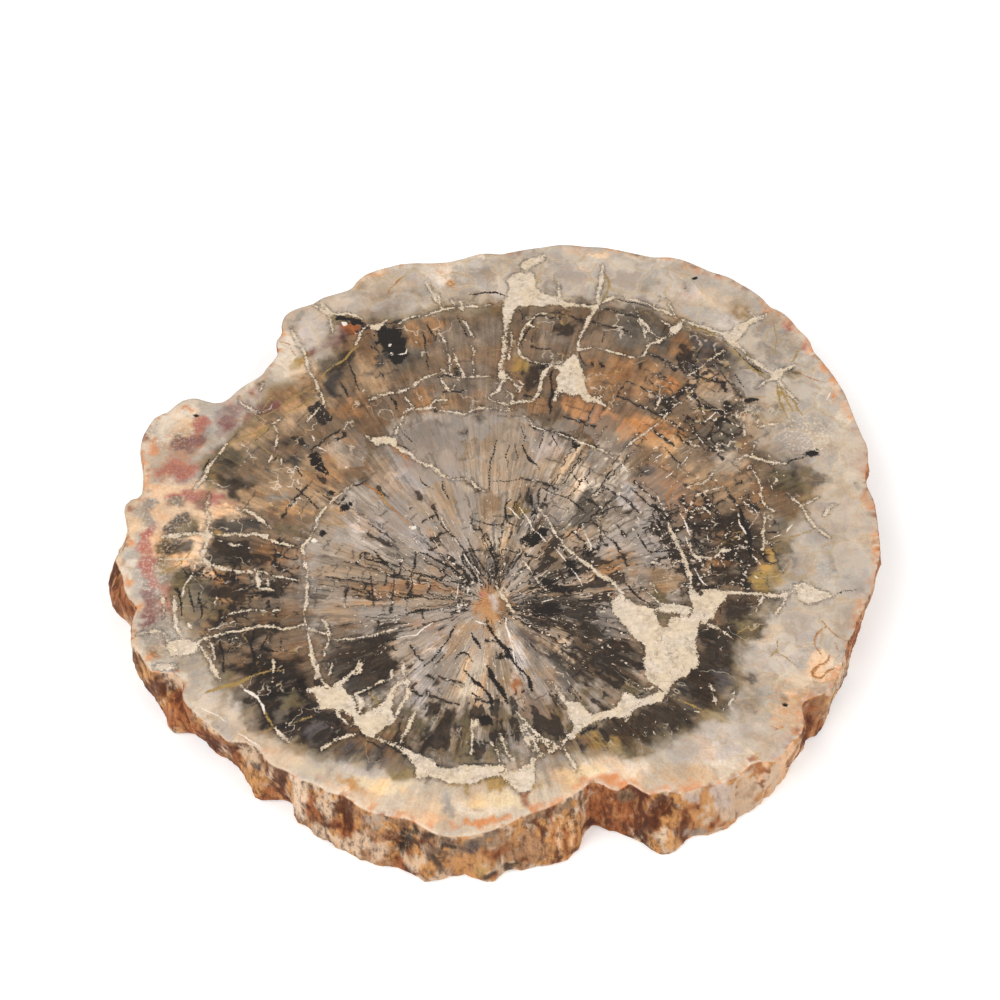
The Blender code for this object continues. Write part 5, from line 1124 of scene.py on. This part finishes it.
class Recipe:
    """A material's nodes, with the few calls that the recipes are written in."""

    def __init__(self, name):
        self.material = bpy.data.materials.new(name)
        self.material.use_nodes = True
        self.tree = self.material.node_tree
        self.shader = self.tree.nodes["Principled BSDF"]

    def node(self, kind, **settings):
        made = self.tree.nodes.new(kind)
        for key, value in settings.items():
            setattr(made, key, value)
        return made

    def feed(self, socket, value):
        if isinstance(value, bpy.types.NodeSocket):
            self.tree.links.new(value, socket)
        else:
            socket.default_value = value

    def set(self, **values):
        """Uniform values, set directly on the shader's own sockets."""
        for key, value in values.items():
            self.shader.inputs[key.replace("_", " ")].default_value = value

    def math(self, operation, *values):
        made = self.node("ShaderNodeMath", operation=operation)
        for socket, value in zip(made.inputs, values):
            self.feed(socket, value)
        return made.outputs[0]

    def times(self, first, second):
        return self.math("MULTIPLY", first, second)

    def plus(self, first, second):
        return self.math("ADD", first, second)

    def minus(self, first, second):
        return self.math("SUBTRACT", first, second)

    def vector(self, operation, *values):
        made = self.node("ShaderNodeVectorMath", operation=operation)
        for socket, value in zip(made.inputs, values):
            self.feed(socket, value)
        return made.outputs[1] if operation == "LENGTH" else made.outputs[0]

    def scaled(self, value, factor):
        made = self.node("ShaderNodeVectorMath", operation="SCALE")
        self.feed(made.inputs[0], value)
        self.feed(made.inputs["Scale"], factor)
        return made.outputs[0]

    def shifted(self, spot, *shift):
        return self.vector("ADD", spot, shift)

    def mix(self, share, first, second):
        made = self.node("ShaderNodeMix", data_type="RGBA")
        for socket, value in zip((made.inputs[0], made.inputs[6], made.inputs[7]), (share, first, second)):
            self.feed(socket, value)
        return made.outputs[2]

    def laid(self, stone, amount, share, name, gain=1.0):
        """The stone with a named colour over it, by an amount times a share."""
        return self.mix(self.times(amount, share), stone, colour(name, gain))

    def step(self, value, low, high):
        made = self.node("ShaderNodeMapRange", interpolation_type="SMOOTHSTEP")
        self.feed(made.inputs["Value"], value)
        self.feed(made.inputs["From Min"], low)
        self.feed(made.inputs["From Max"], high)
        return made.outputs[0]

    def below(self, value, low, high):
        """One below the range, falling to zero above it."""
        return self.minus(1.0, self.step(value, low, high))

    def texture(self, kind, vector, settings, **values):
        made = self.node(kind, **settings)
        self.feed(made.inputs["Vector"], vector)
        for key, value in values.items():
            made.inputs[key].default_value = value
        return made

    def noise(self, vector, scale, detail=3.0, roughness=0.55):
        values = {"Scale": scale, "Detail": detail, "Roughness": roughness}
        return self.texture("ShaderNodeTexNoise", vector, {}, **values).outputs["Fac"]

    def swing(self, vector, scale, detail, roughness):
        """Noise about zero."""
        return self.minus(self.noise(vector, scale, detail, roughness), 0.5)

    def jitter(self, spot, scale, reach):
        """A push in all three directions, both ways."""
        push = self.vector("SUBTRACT", self.noise_colour(spot, scale), (0.5, 0.5, 0.5))
        return self.scaled(push, reach)

    def noise_colour(self, vector, scale):
        """A noise with three parts, to push coordinates about."""
        return self.texture("ShaderNodeTexNoise", vector, {}, Scale=scale, Detail=3.0).outputs["Color"]

    def cells(self, vector, scale, uneven=1.0):
        """Distance to the nearest border between cells."""
        kind = {"feature": "DISTANCE_TO_EDGE"}
        made = self.texture("ShaderNodeTexVoronoi", vector, kind, Scale=scale, Randomness=uneven)
        return made.outputs["Distance"]

    def cell_value(self, vector):
        """One random value for each cell."""
        made = self.texture("ShaderNodeTexVoronoi", vector, {}, Scale=1.0)
        apart = self.node("ShaderNodeSeparateColor")
        self.feed(apart.inputs[0], made.outputs["Color"])
        return apart.outputs[0]

    def rays(self, spot, around, along):
        """Coordinates in which noise becomes threads that run out from the pith."""
        out = self.vector("SUBTRACT", spot, (*PITH, TOP))
        heading = self.scaled(self.vector("NORMALIZE", out), around)
        far = self.times(self.vector("LENGTH", out), along)
        lifted = self.node("ShaderNodeCombineXYZ")
        self.feed(lifted.inputs[2], far)
        return self.vector("ADD", heading, lifted.outputs[0])

    def streaky(self, spot, around, along, detail=3.0, roughness=0.55):
        """Noise in threads that run out from the pith."""
        return self.noise(self.rays(spot, around, along), 1.0, detail, roughness)

    def held(self, name):
        """A value stored on the mesh's points."""
        return self.node("ShaderNodeAttribute", attribute_name=name).outputs["Fac"]

    def held_colour(self, name):
        return self.node("ShaderNodeAttribute", attribute_name=name).outputs["Color"]

    def millimetres(self):
        return self.scaled(self.node("ShaderNodeTexCoord").outputs["Object"], 1 / MM)

    def finished(self, stone, roughness, height, strength, distance):
        """The material with its colour, roughness and bump fed in."""
        bump = self.node("ShaderNodeBump")
        bump.inputs["Strength"].default_value = strength
        bump.inputs["Distance"].default_value = distance * MM
        self.feed(bump.inputs["Height"], height)
        self.feed(self.shader.inputs["Base Color"], stone)
        self.feed(self.shader.inputs["Roughness"], roughness)
        self.feed(self.shader.inputs["Normal"], bump.outputs["Normal"])
        return self.material


def colour(name, gain=1.0):
    return (*[min(1.0, c * gain) for c in COLOURS[name]], 1.0)


def shaded(recipe, spot, bent, grain):
    """The laid tones made lighter and darker by threads, wedges, clouds and grain."""
    fibre = recipe.held("fibre")
    threads = recipe.streaky(spot, around=60.0, along=0.05, detail=4.0, roughness=0.65)
    clouds = recipe.swing(bent, scale=0.12, detail=5.0, roughness=0.6)
    wedge = recipe.minus(recipe.cell_value(recipe.rays(bent, around=9.0, along=0.06)), 0.5)
    shade = recipe.times(recipe.times(recipe.minus(threads, 0.52), fibre), 1.8)
    shade = recipe.plus(shade, recipe.times(wedge, recipe.times(fibre, 0.45)))
    shade = recipe.plus(shade, recipe.times(recipe.times(clouds, recipe.held("mottle")), 2.2))
    shade = recipe.plus(shade, recipe.times(recipe.minus(grain, 0.5), 0.7))
    return recipe.scaled(recipe.held_colour("tone"), recipe.math("MAXIMUM", recipe.plus(shade, 1.0), 0.22))


def wood_colour(recipe, spot):
    """The laid tones with their threads, patches, cracks and flecks, and painted glints along the cracks."""
    fibre, painted_sparkle = recipe.held("fibre"), recipe.held("painted_sparkle")
    jitter = recipe.jitter(spot, scale=0.25, reach=3.0)
    bent = recipe.vector("ADD", spot, jitter)
    grain = recipe.noise(spot, scale=1.2, detail=4.0, roughness=0.7)
    stone = shaded(recipe, spot, bent, grain)

    warm = recipe.step(recipe.streaky(bent, around=7.0, along=0.07, detail=4.0), 0.45, 0.62)
    stone = recipe.mix(recipe.times(warm, 0.7), stone, recipe.vector("MULTIPLY", stone, WARM))
    cool = recipe.streaky(recipe.shifted(bent, 9, 4, 0), around=11.0, along=0.06)
    cool = recipe.times(recipe.step(cool, 0.5, 0.66), fibre)
    stone = recipe.mix(recipe.times(cool, 0.55), stone, recipe.vector("MULTIPLY", stone, COOL))
    patch = recipe.cell_value(recipe.rays(recipe.vector("ADD", bent, jitter), around=5.0, along=0.05))
    for low, high, share, name in WOOD_PATCHES:
        amount = recipe.times(recipe.held("patch"), share)
        stone = recipe.laid(stone, recipe.step(patch, low, high), amount, name)
    streak = recipe.step(recipe.streaky(bent, around=30.0, along=0.14, roughness=0.6), 0.56, 0.66)
    stone = recipe.laid(stone, recipe.times(streak, fibre), 0.55, "ash")

    ink = recipe.mix(grain, colour("black"), colour("umber"))
    # Painted glints: white highlights laid along the cracks where the sparkle weight is high.
    painted_glints = recipe.step(recipe.noise(spot, scale=0.75, detail=2.0, roughness=0.6), 0.6, 0.64)
    for around, along, width, share in CRACK_NETS:
        core, halo = cracks(recipe, bent, around, along, width)
        stone = recipe.laid(stone, halo, 0.45, "umber")
        stone = recipe.laid(stone, core, share, "night")
        # Painted glints on the net's cracks.
        stone = recipe.laid(stone, recipe.times(core, painted_glints), painted_sparkle, "ivory")
    twisted = recipe.vector("ADD", bent, recipe.jitter(spot, scale=0.5, reach=2.0))
    for count, often, wide, least, share in LADDERS:
        core, halo = ladder(recipe, twisted, count, often, wide, least)
        stone = recipe.laid(stone, halo, share * 0.4, "smoke")
        stone = recipe.mix(recipe.times(core, share), stone, ink)
        # Painted glints on the ladder's cracks.
        stone = recipe.laid(stone, recipe.times(core, painted_glints), painted_sparkle, "ivory")

    dark = recipe.streaky(bent, around=10.0, along=0.085, roughness=0.5)
    dark = recipe.plus(dark, recipe.times(recipe.held("fleck"), 0.3))
    stone = recipe.laid(stone, recipe.step(dark, 0.62, 0.72), 0.4, "umber")
    stone = recipe.mix(recipe.times(recipe.step(dark, 0.7, 0.73), 0.85), stone, ink)
    run = recipe.minus(recipe.streaky(bent, around=5.0, along=0.045, detail=4.0), 0.5)
    vein = recipe.step(recipe.math("ABSOLUTE", run), 0.008, 0.001)
    cut = recipe.step(recipe.noise(recipe.shifted(spot, 31, 0, 0), scale=0.09), 0.44, 0.56)
    vein = recipe.times(recipe.times(vein, cut), recipe.held("vein"))
    stone = recipe.mix(recipe.times(vein, 0.75), stone, recipe.mix(warm, colour("cream"), colour("gold")))
    # Short cream dashes along the rays, more of them where the painted sparkle is strong.
    bright = recipe.streaky(recipe.shifted(bent, 3, 2, 0), around=40.0, along=0.4, roughness=0.6)
    bright = recipe.step(recipe.plus(bright, recipe.times(painted_sparkle, 0.13)), 0.76, 0.79)
    return recipe.laid(stone, bright, 0.85, "cream")


def ladder(recipe, spot, count, often, wide, least):
    """Dark cracks that run along the rays with short ones across between them, as a core and a halo."""
    out = recipe.vector("MULTIPLY", recipe.vector("SUBTRACT", spot, (*PITH, TOP)), (1, 1, 0))
    parts = recipe.node("ShaderNodeSeparateXYZ")
    recipe.feed(parts.inputs[0], out)
    far = recipe.math("MAXIMUM", recipe.vector("LENGTH", out), 1.0)
    turn = recipe.times(recipe.math("ARCTAN2", parts.outputs[1], parts.outputs[0]), count / math.tau)
    bend = recipe.noise(recipe.vector("NORMALIZE", out), scale=6.0, detail=1.0)
    turn = recipe.plus(turn, recipe.times(bend, 5.0))
    held = recipe.held("ladder")
    ragged = recipe.noise(spot, scale=0.7, roughness=0.6)
    half = recipe.times(recipe.plus(0.3, recipe.times(ragged, 1.4)), wide)

    line = recipe.math("WRAP", recipe.math("ROUND", turn), count / 2, -count / 2)
    aside = recipe.times(recipe.math("PINGPONG", turn, 0.5), recipe.times(far, math.tau / count))
    place = recipe.node("ShaderNodeCombineXYZ")
    recipe.feed(place.inputs[0], recipe.times(line, 7.31))
    recipe.feed(place.inputs[1], recipe.times(far, 0.055))
    shown = recipe.plus(recipe.noise(place.outputs[0], scale=1.0, detail=2.0), recipe.times(held, 0.35))
    shown = recipe.step(shown, 0.7, 0.64)
    long_gap = recipe.plus(recipe.minus(aside, half), recipe.times(shown, CRACK_OFF))

    lane = recipe.math("WRAP", recipe.math("FLOOR", turn), count / 2, -count / 2)
    shift = recipe.math("FRACT", recipe.times(recipe.math("SINE", recipe.times(lane, 12.99)), 437.5))
    level = recipe.plus(recipe.times(far, often), shift)
    across = recipe.math("DIVIDE", recipe.math("PINGPONG", level, 0.5), often)
    where = recipe.node("ShaderNodeCombineXYZ")
    recipe.feed(where.inputs[0], lane)
    recipe.feed(where.inputs[1], recipe.math("ROUND", level))
    pick = recipe.node("ShaderNodeTexWhiteNoise")
    recipe.feed(pick.inputs["Vector"], where.outputs[0])
    missing = recipe.math("GREATER_THAN", pick.outputs["Value"], recipe.times(held, 0.7))
    cross_gap = recipe.plus(recipe.minus(across, half), recipe.times(missing, CRACK_OFF))

    gap = recipe.math("MINIMUM", long_gap, cross_gap)
    near = recipe.times(recipe.step(held, 0.02, 0.12), recipe.step(far, least, least * 1.5))
    return recipe.times(recipe.step(gap, 0.16, -0.08), near), recipe.times(recipe.step(gap, 0.95, 0.0), near)


def cracks(recipe, spot, around, along, width):
    """Dark cracks between cells that are long along the rays, as a core and a halo."""
    gap = recipe.cells(recipe.rays(spot, around, along), scale=1.0, uneven=0.7)
    open_part = recipe.step(recipe.noise(spot, scale=0.11, detail=4.0, roughness=0.6), 0.38, 0.6)
    most = recipe.times(open_part, recipe.held("crack"))
    shown = recipe.step(most, 0.08, 0.3)
    ragged = recipe.times(recipe.noise(spot, scale=0.8, detail=2.0), 1.5)
    edge = recipe.minus(gap, recipe.times(recipe.times(most, width), ragged))
    core = recipe.times(recipe.below(edge, -0.015, 0.02), shown)
    return core, recipe.times(recipe.below(edge, -0.02, 0.13), shown)


def ring_colour(recipe, spot, moved, stone):
    """The outer ring over the wood: blocks, lines, clouds, grit and stains."""
    agate = recipe.held("agate")
    block = recipe.cell_value(recipe.rays(moved, around=9.0, along=0.075))
    for low, high, share, name in RING_BLOCKS:
        stone = recipe.laid(stone, recipe.step(block, low, high), recipe.times(agate, share), name)
    for around, along, width, share, name in RING_LINES:
        edges = recipe.cells(recipe.rays(moved, around, along), scale=1.0)
        lines = recipe.below(edges, width * 0.3, width)
        stone = recipe.laid(stone, lines, recipe.times(agate, share), name)
    for shift, scale, low, high, share, name in RING_CLOUDS:
        cloud = recipe.noise(recipe.shifted(moved, shift, 0, 0), scale, detail=5.0, roughness=0.65)
        stone = recipe.laid(stone, recipe.step(cloud, low, high), recipe.times(agate, share), name)
    grit = recipe.step(recipe.noise(spot, scale=0.9, detail=4.0, roughness=0.7), 0.5, 0.62)
    stone = recipe.laid(stone, grit, recipe.held("grit"), "ivory")
    rusty = recipe.noise(recipe.shifted(spot, 0, 55, 0), scale=0.4, detail=4.0, roughness=0.7)
    return recipe.laid(stone, recipe.step(rusty, 0.5, 0.64), recipe.held("stain"), "flame")


def ivory_inside(recipe, spot, moved, inner):
    """The ivory veins' own figure: blushes, worn patches, dark splits and a painted silky sheen in the tone.
    """
    blush = recipe.step(recipe.noise(spot, scale=0.1, detail=4.0), 0.42, 0.58)
    inner = recipe.laid(inner, blush, 0.4, "butter", 0.92)
    worn = recipe.step(recipe.noise(spot, scale=0.35, detail=5.0, roughness=0.7), 0.52, 0.66)
    inner = recipe.laid(inner, worn, 0.35, "taupe")
    split = recipe.math("ABSOLUTE", recipe.swing(moved, scale=0.07, detail=5.0, roughness=0.6))
    inner = recipe.laid(inner, recipe.step(split, 0.006, 0.002), 0.4, "umber")
    # Painted sheen: the vein's colour made lighter and darker in silky streaks.
    stretched = recipe.vector("MULTIPLY", moved, (0.2, 0.6, 1.0))
    painted_sheen = recipe.noise(stretched, scale=1.0, detail=4.0, roughness=0.6)
    return recipe.scaled(inner, recipe.plus(0.66, recipe.times(painted_sheen, 0.6)))


def top_material():
    """The polished face."""
    recipe = Recipe("polished_petrified_wood")
    spot = recipe.millimetres()
    moved = recipe.vector("ADD", spot, recipe.scaled(recipe.noise_colour(spot, scale=0.15), 8.0))
    stone = ring_colour(recipe, spot, moved, wood_colour(recipe, spot))
    fray = recipe.swing(spot, scale=1.5, detail=4.0, roughness=0.7)
    patch = recipe.noise(spot, scale=0.5, detail=5.0, roughness=0.7)
    broken = recipe.step(recipe.streaky(moved, around=22.0, along=0.2, roughness=0.6), 0.47, 0.6)
    ragged = recipe.swing(spot, scale=0.42, detail=4.0, roughness=0.65)
    for kind, dark, light, wobble, soft in VEIN_LOOKS:
        depth = recipe.plus(recipe.held(kind), recipe.times(fray, wobble))
        if kind == "blot":
            depth = recipe.minus(depth, recipe.times(broken, 1.7))
        if kind == "ivory":
            depth = recipe.plus(depth, recipe.times(ragged, 3.0))
        inner = recipe.mix(recipe.step(patch, 0.3, 0.7), colour(dark), colour(light))
        if kind == "ivory":
            fringe = recipe.times(recipe.step(depth, -1.4, -0.2), recipe.step(patch, 0.38, 0.55))
            stone = recipe.laid(stone, fringe, 0.55, "night")
            inner = ivory_inside(recipe, spot, moved, inner)
        stone = recipe.mix(recipe.step(depth, -soft, soft), stone, inner)
    # Pits painted near black: painted shade in the sunken hollows.
    stone = recipe.mix(recipe.step(recipe.held("pit"), -0.1, 0.2), stone, colour("black", 0.4))
    stone = recipe.scaled(recipe.vector("POWER", stone, (CONTRAST, CONTRAST, CONTRAST)), BRIGHTNESS)
    chalky = recipe.step(recipe.held("ivory"), -0.2, 0.3)
    rough = recipe.plus(recipe.plus(0.27, recipe.times(chalky, 0.18)), recipe.times(patch, 0.08))
    recipe.set(Specular_IOR_Level=0.4)
    ripple = recipe.noise(spot, scale=0.8, detail=4.0, roughness=0.6)
    return recipe.finished(stone, rough, ripple, strength=0.06, distance=0.4)


def wall_material():
    """The rough bark round the rim, with painted shade in its hollows and low grooves and painted light on
    its raised parts.
    """
    recipe = Recipe("rough_bark_stone")
    spot = recipe.millimetres()
    drawn_down = recipe.vector("MULTIPLY", spot, (1.0, 1.0, 0.3))
    grooves = recipe.noise(drawn_down, scale=0.55, detail=5.0, roughness=0.65)
    crumbs = recipe.noise(spot, scale=1.5, detail=4.0, roughness=0.7)
    rough, relief = recipe.held("fleck"), recipe.held("relief")
    # The bark's colour made lighter where grooves, crumbs and relief are high and darker where they are low:
    # its own streaks, and painted shade on its bumps and hollows.
    shade = recipe.plus(recipe.times(recipe.minus(grooves, 0.52), 1.9), 0.96)
    shade = recipe.plus(shade, recipe.times(recipe.minus(crumbs, 0.5), 1.3))
    shade = recipe.plus(shade, recipe.times(relief, 0.4))
    contrast = recipe.math("MULTIPLY_ADD", rough, 0.75, 0.25)
    shade = recipe.math("MULTIPLY_ADD", recipe.minus(shade, 1.0), contrast, 1.0)
    browner = recipe.vector("MULTIPLY", recipe.held_colour("tone"), (1.04, 0.9, 0.8))
    stone = recipe.scaled(browner, recipe.math("MAXIMUM", shade, 0.3))
    # Dark rust in the low grooves: rust colour and painted shade.
    dark = recipe.step(recipe.plus(grooves, recipe.times(relief, 0.1)), 0.49, 0.36)
    stone = recipe.laid(stone, dark, recipe.times(rough, 0.6), "darkrust", 0.7)
    # Ochre on the raised parts: ochre colour and painted highlight where the bark stands out.
    worn = recipe.step(recipe.plus(grooves, recipe.times(relief, 0.12)), 0.56, 0.7)
    stone = recipe.laid(stone, worn, 0.4, "ochre")
    # Dark rust in the low crumbs and hollows: rust colour and painted shade.
    hollow_rust_and_shade = recipe.step(recipe.plus(crumbs, recipe.times(relief, 0.15)), 0.42, 0.3)
    stone = recipe.laid(stone, hollow_rust_and_shade, recipe.times(rough, 0.7), "darkrust", 0.5)
    pushed = recipe.vector("ADD", drawn_down, recipe.scaled(recipe.noise_colour(spot, scale=0.3), 3.0))
    split = recipe.times(recipe.below(recipe.cells(pushed, scale=0.26), 0.0, 0.12),
                         recipe.step(grooves, 0.58, 0.44))
    stone = recipe.laid(stone, split, recipe.times(rough, 0.5), "darkrust", 0.6)
    recipe.set(Specular_IOR_Level=0.25)
    height = recipe.plus(grooves, recipe.times(crumbs, 0.6))
    matt = recipe.plus(0.72, recipe.times(crumbs, 0.2))
    return recipe.finished(stone, matt, height, strength=0.7, distance=1.0)


def base_material():
    """The sawn underside: the same wood, matt and dusty, with the saw's faint marks."""
    recipe = Recipe("sawn_petrified_wood")
    spot = recipe.millimetres()
    stone = wood_colour(recipe, spot)
    dust = recipe.plus(0.25, recipe.times(recipe.noise(spot, scale=0.25, detail=4.0, roughness=0.6), 0.35))
    stone = recipe.mix(dust, stone, colour("sand", 0.85))
    marks = recipe.noise(recipe.vector("MULTIPLY", spot, (0.03, 1.4, 0.0)), scale=1.0, roughness=0.6)
    matt = recipe.plus(0.62, recipe.times(marks, 0.25))
    return recipe.finished(stone, matt, marks, strength=0.35, distance=0.4)


def weights(xy, spots):
    """How threaded, mottled, cracked, flecked, agate-like, gritty or stained each point is, and how much
    painted sparkle it has.
    """
    out = {kind: np.full(len(xy), start) for kind, start in DEFAULTS.items()}
    moved = combed(xy, 3.0, 1.5)
    for kind, value, *patch in spots:
        share = cover(moved, (kind, *patch))
        out[kind] = out[kind] * (1 - share) + value * share
    return out


def wall_faces(top_rim, first, rows):
    """Four-cornered faces from the polished face's rim down through the wall's rings."""
    faces, upper = [], top_rim
    for row in range(rows):
        lower = [first + row * STATIONS + i for i in range(STATIONS)]
        for i in range(STATIONS):
            j = (i + 1) % STATIONS
            faces.append((upper[i], lower[i], lower[j], upper[j]))
        upper = lower
    return faces


def build():
    """The slice as one mesh: polished face, bark wall and underside, with its stored tones and figures."""
    rim = Rim(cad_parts["petrified_wood_slice"])
    xy, top_faces, top_rim, fields = make_top(rim)
    rings, relief = make_wall(rim)
    base_xy, base_faces, base_rim = make_base(rim, rings[-1])

    count_top, rows = len(xy), rings.shape[0]
    count_outer = count_top + rows * STATIONS
    dip = np.clip(fields["pit"], 0, PIT_RAMP) * PIT_SLOPE
    on_rim = set(base_rim)
    inner = [k for k in range(len(base_xy)) if k not in on_rim]
    points = np.vstack([np.column_stack([xy, TOP - dip]), rings.reshape(-1, 3),
                        np.column_stack([base_xy[inner], np.zeros(len(inner))])])
    base_index = {k: count_outer - STATIONS + i for i, k in enumerate(base_rim)}
    base_index.update({k: count_outer + i for i, k in enumerate(inner)})
    parts = ([tuple(f) for f in top_faces], wall_faces(top_rim, count_top, rows),
             [tuple(base_index[k] for k in reversed(f)) for f in base_faces])
    faces = [tuple(map(int, f)) for part in parts for f in part]
    kinds = [kind for kind, part in enumerate(parts) for _ in part]

    mesh = bpy.data.meshes.new("petrified_wood")
    mesh.from_pydata((points * MM).tolist(), [], faces)
    mesh.validate()
    flat = points[:, :2]
    wall_part = slice(count_top, count_outer)
    tones = paint(flat, TONES + SPOTS, "rind")
    tones[:count_top] = tint_rim(rim, xy, tint_border(xy, tones[:count_top]))
    tones[wall_part] = paint_wall(rim, rings)
    store_colour(mesh, "tone", tones)
    for kind, values in weights(flat, ZONES).items():
        if kind == "fleck":
            values[wall_part] = wall_roughness(rings)
        store(mesh, kind, values)
    for kind, values in fields.items():
        store(mesh, kind, np.concatenate([values, np.full(len(points) - count_top, -REACH)]))
    # The bark's relief, which the bark material also uses to paint shade into its hollows.
    store(mesh, "relief", np.concatenate([np.zeros(count_top), relief.ravel(), np.zeros(len(inner))]))
    for material in (top_material(), wall_material(), base_material()):
        mesh.materials.append(material)
    mesh.polygons.foreach_set("material_index", kinds)
    lay_out(mesh, points, kinds, rows)
    for face in mesh.polygons:
        face.use_smooth = True
    piece = bpy.data.objects.new("petrified_wood", mesh)
    bpy.context.scene.collection.objects.link(piece)
    triangles = sum(len(p.vertices) - 2 for p in mesh.polygons)
    print("piece:", len(mesh.vertices), "points", triangles, "triangles")
    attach(piece, "root")
    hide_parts("petrified_wood_slice")


def store(mesh, name, values):
    mesh.attributes.new(name, "FLOAT", "POINT").data.foreach_set("value", np.asarray(values, np.float32))


def store_colour(mesh, name, values):
    full = np.column_stack([values, np.ones(len(values))]).astype(np.float32)
    mesh.attributes.new(name, "FLOAT_COLOR", "POINT").data.foreach_set("color", full.ravel())


def wall_roughness(rings):
    """How speckled the bark is: less at the front's middle, its pale right part and the back."""
    flat = rings.reshape(-1, 3)
    x, y = flat[:, 0], flat[:, 1]
    calm = np.clip((x - 56) / 8, 0, 1) * np.clip((118 - x) / 14, 0, 1) * (y < 0)
    middle = np.exp(-((x + 4) / 16) ** 2) * (y < 0)
    back = np.clip((y + 10) / 30, 0, 1)
    return 0.9 - 0.7 * calm - 0.4 * middle - 0.35 * back


def camera_place():
    """Where the camera of the reference view is, in metres."""
    lean = math.radians(ELEVATION)
    return AIM[0], AIM[1] - DISTANCE * math.cos(lean), AIM[2] + DISTANCE * math.sin(lean)


def paint_wall(rim, rings):
    """Tones of the bark: blotches all round, and the listed places on the side that the camera sees."""
    rows = rings.shape[0]
    along = np.tile(np.arange(STATIONS) / STATIONS * rim.length, rows)
    heights = np.repeat(wall_heights(), STATIONS)
    drift = soft_noise(along, heights, 60.0, 8)
    coarse = soft_noise(along, heights * 1.3, 11.0, 5) * 0.6 + soft_noise(along, heights * 0.8, 4.0, 6) * 0.4
    fine = soft_noise(along, heights * 0.6, 2.2, 9)
    tone = np.tile(COLOURS["clay"], (len(along), 1))
    blotches = (("sand", coarse + 0.5 * (drift - 0.5), 0.5), ("ochre", fine + 0.2 * coarse, 0.72),
                ("rust", 1 - coarse, 0.56), ("darkrust", 1 - coarse + 0.3 * fine, 0.84))
    for name, value, low in blotches:
        tone = blended(tone, np.clip((value - low) / 0.1, 0, 1), COLOURS[name])
    flat = rings.reshape(-1, 3)
    eye = np.array(camera_place()) / MM
    drop = (eye[2] - TOP) / (eye[2] - flat[:, 2])
    seen = eye[:2] + (flat[:, :2] - eye[:2]) * drop[:, None]
    tangent = (np.roll(rings, -3, 1) - np.roll(rings, 3, 1)).reshape(-1, 3)
    facing = np.clip(tangent[:, 0] / np.hypot(tangent[:, 0], tangent[:, 1]) * 3 + 0.6, 0, 1)
    spots = wandered(seen, 0.9)
    frayed = 1.1 * (fine - 0.5) + 0.8 * (soft_noise(along, heights * 0.5, 1.1, 10) - 0.5)
    for patch in BARK:
        share = eased(cover(spots, patch, frayed) * facing) * 0.92
        tone = blended(tone, share, COLOURS[patch[0]])
    return tone


def lay_out(mesh, points, kinds, rows):
    """A flat layout: polished face at upper left, wall in three strips below, underside at upper right."""
    layer = mesh.uv_layers.new(name="OFBake")
    corners = np.empty(len(mesh.loops), np.int32)
    mesh.loops.foreach_get("vertex_index", corners)
    starts = np.array([p.loop_start for p in mesh.polygons])
    sizes = np.array([p.loop_total for p in mesh.polygons])
    kind = np.repeat(np.array(kinds), sizes)
    place = points[corners, :2] + np.array(SIZE) / 2
    uv = np.zeros((len(corners), 2))
    for number, (left, low, wide, way) in ((0, TOP_PLOT), (2, BASE_PLOT)):
        part = kind == number
        scale = wide / SIZE[0]
        uv[part] = np.column_stack([left + way * place[part, 0] * scale, low + place[part, 1] * scale])
    wall = np.nonzero(kind == 1)[0]
    face = np.repeat(np.arange(len(sizes)), sizes)[wall]
    number = face - face.min()
    row, station = number // STATIONS, number % STATIONS
    turn = wall - starts[face]
    column = station + (turn >= 2)
    level = row + ((turn == 1) | (turn == 2))
    third = STATIONS // 3 + 1
    strip = station // third
    left, top, wide, step, high = STRIPS
    uv[wall, 0] = left + (column - strip * third) * (wide / third)
    uv[wall, 1] = top - strip * step - level * (high / rows)
    layer.data.foreach_set("uv", uv.astype(np.float32).ravel())


def add_floor():
    """A plain pale floor."""
    recipe = Recipe("pale_floor")
    recipe.set(Base_Color=(0.96, 0.96, 0.96, 1.0), Emission_Color=(1.0, 1.0, 1.0, 1.0))
    recipe.set(Emission_Strength=FLOOR_GLOW, Roughness=0.9, Specular_IOR_Level=0.1)
    mesh = bpy.data.meshes.new("floor")
    far = FLOOR_REACH
    mesh.from_pydata([(-far, -far, 0), (far, -far, 0), (far, far, 0), (-far, far, 0)], [], [(0, 1, 2, 3)])
    mesh.materials.append(recipe.material)
    floor = bpy.data.objects.new("floor", mesh)
    floor.location.z = -FLOOR_DROP
    bpy.context.scene.collection.objects.link(floor)


def add_light(name, place, size, power):
    """A soft square lamp that faces the slice."""
    lamp = bpy.data.lights.new(name, "AREA")
    lamp.size, lamp.energy = size, power
    holder = bpy.data.objects.new(name, lamp)
    holder.location = place
    holder.rotation_euler = (Vector((0, 0, 0)) - Vector(place)).to_track_quat("-Z", "Y").to_euler()
    bpy.context.scene.collection.objects.link(holder)


def add_studio():
    """A white sky, the lamps and the plain view of colours."""
    world = bpy.data.worlds.new("studio")
    world.use_nodes = True
    shade = world.node_tree.nodes["Background"]
    shade.inputs["Color"].default_value = (1.0, 1.0, 1.0, 1.0)
    shade.inputs["Strength"].default_value = SKY
    bpy.context.scene.world = world
    for lamp in LAMPS:
        add_light(*lamp)
    bpy.context.scene.view_settings.view_transform = "Standard"


def add_camera():
    camera = bpy.data.cameras.new("camera")
    camera.lens, camera.sensor_width = LENS, SENSOR
    holder = bpy.data.objects.new("camera", camera)
    holder.location = camera_place()
    holder.rotation_euler = (math.pi / 2 - math.radians(ELEVATION), 0, 0)
    bpy.context.scene.collection.objects.link(holder)
    bpy.context.scene.camera = holder


add_camera()
add_studio()
add_floor()
build()
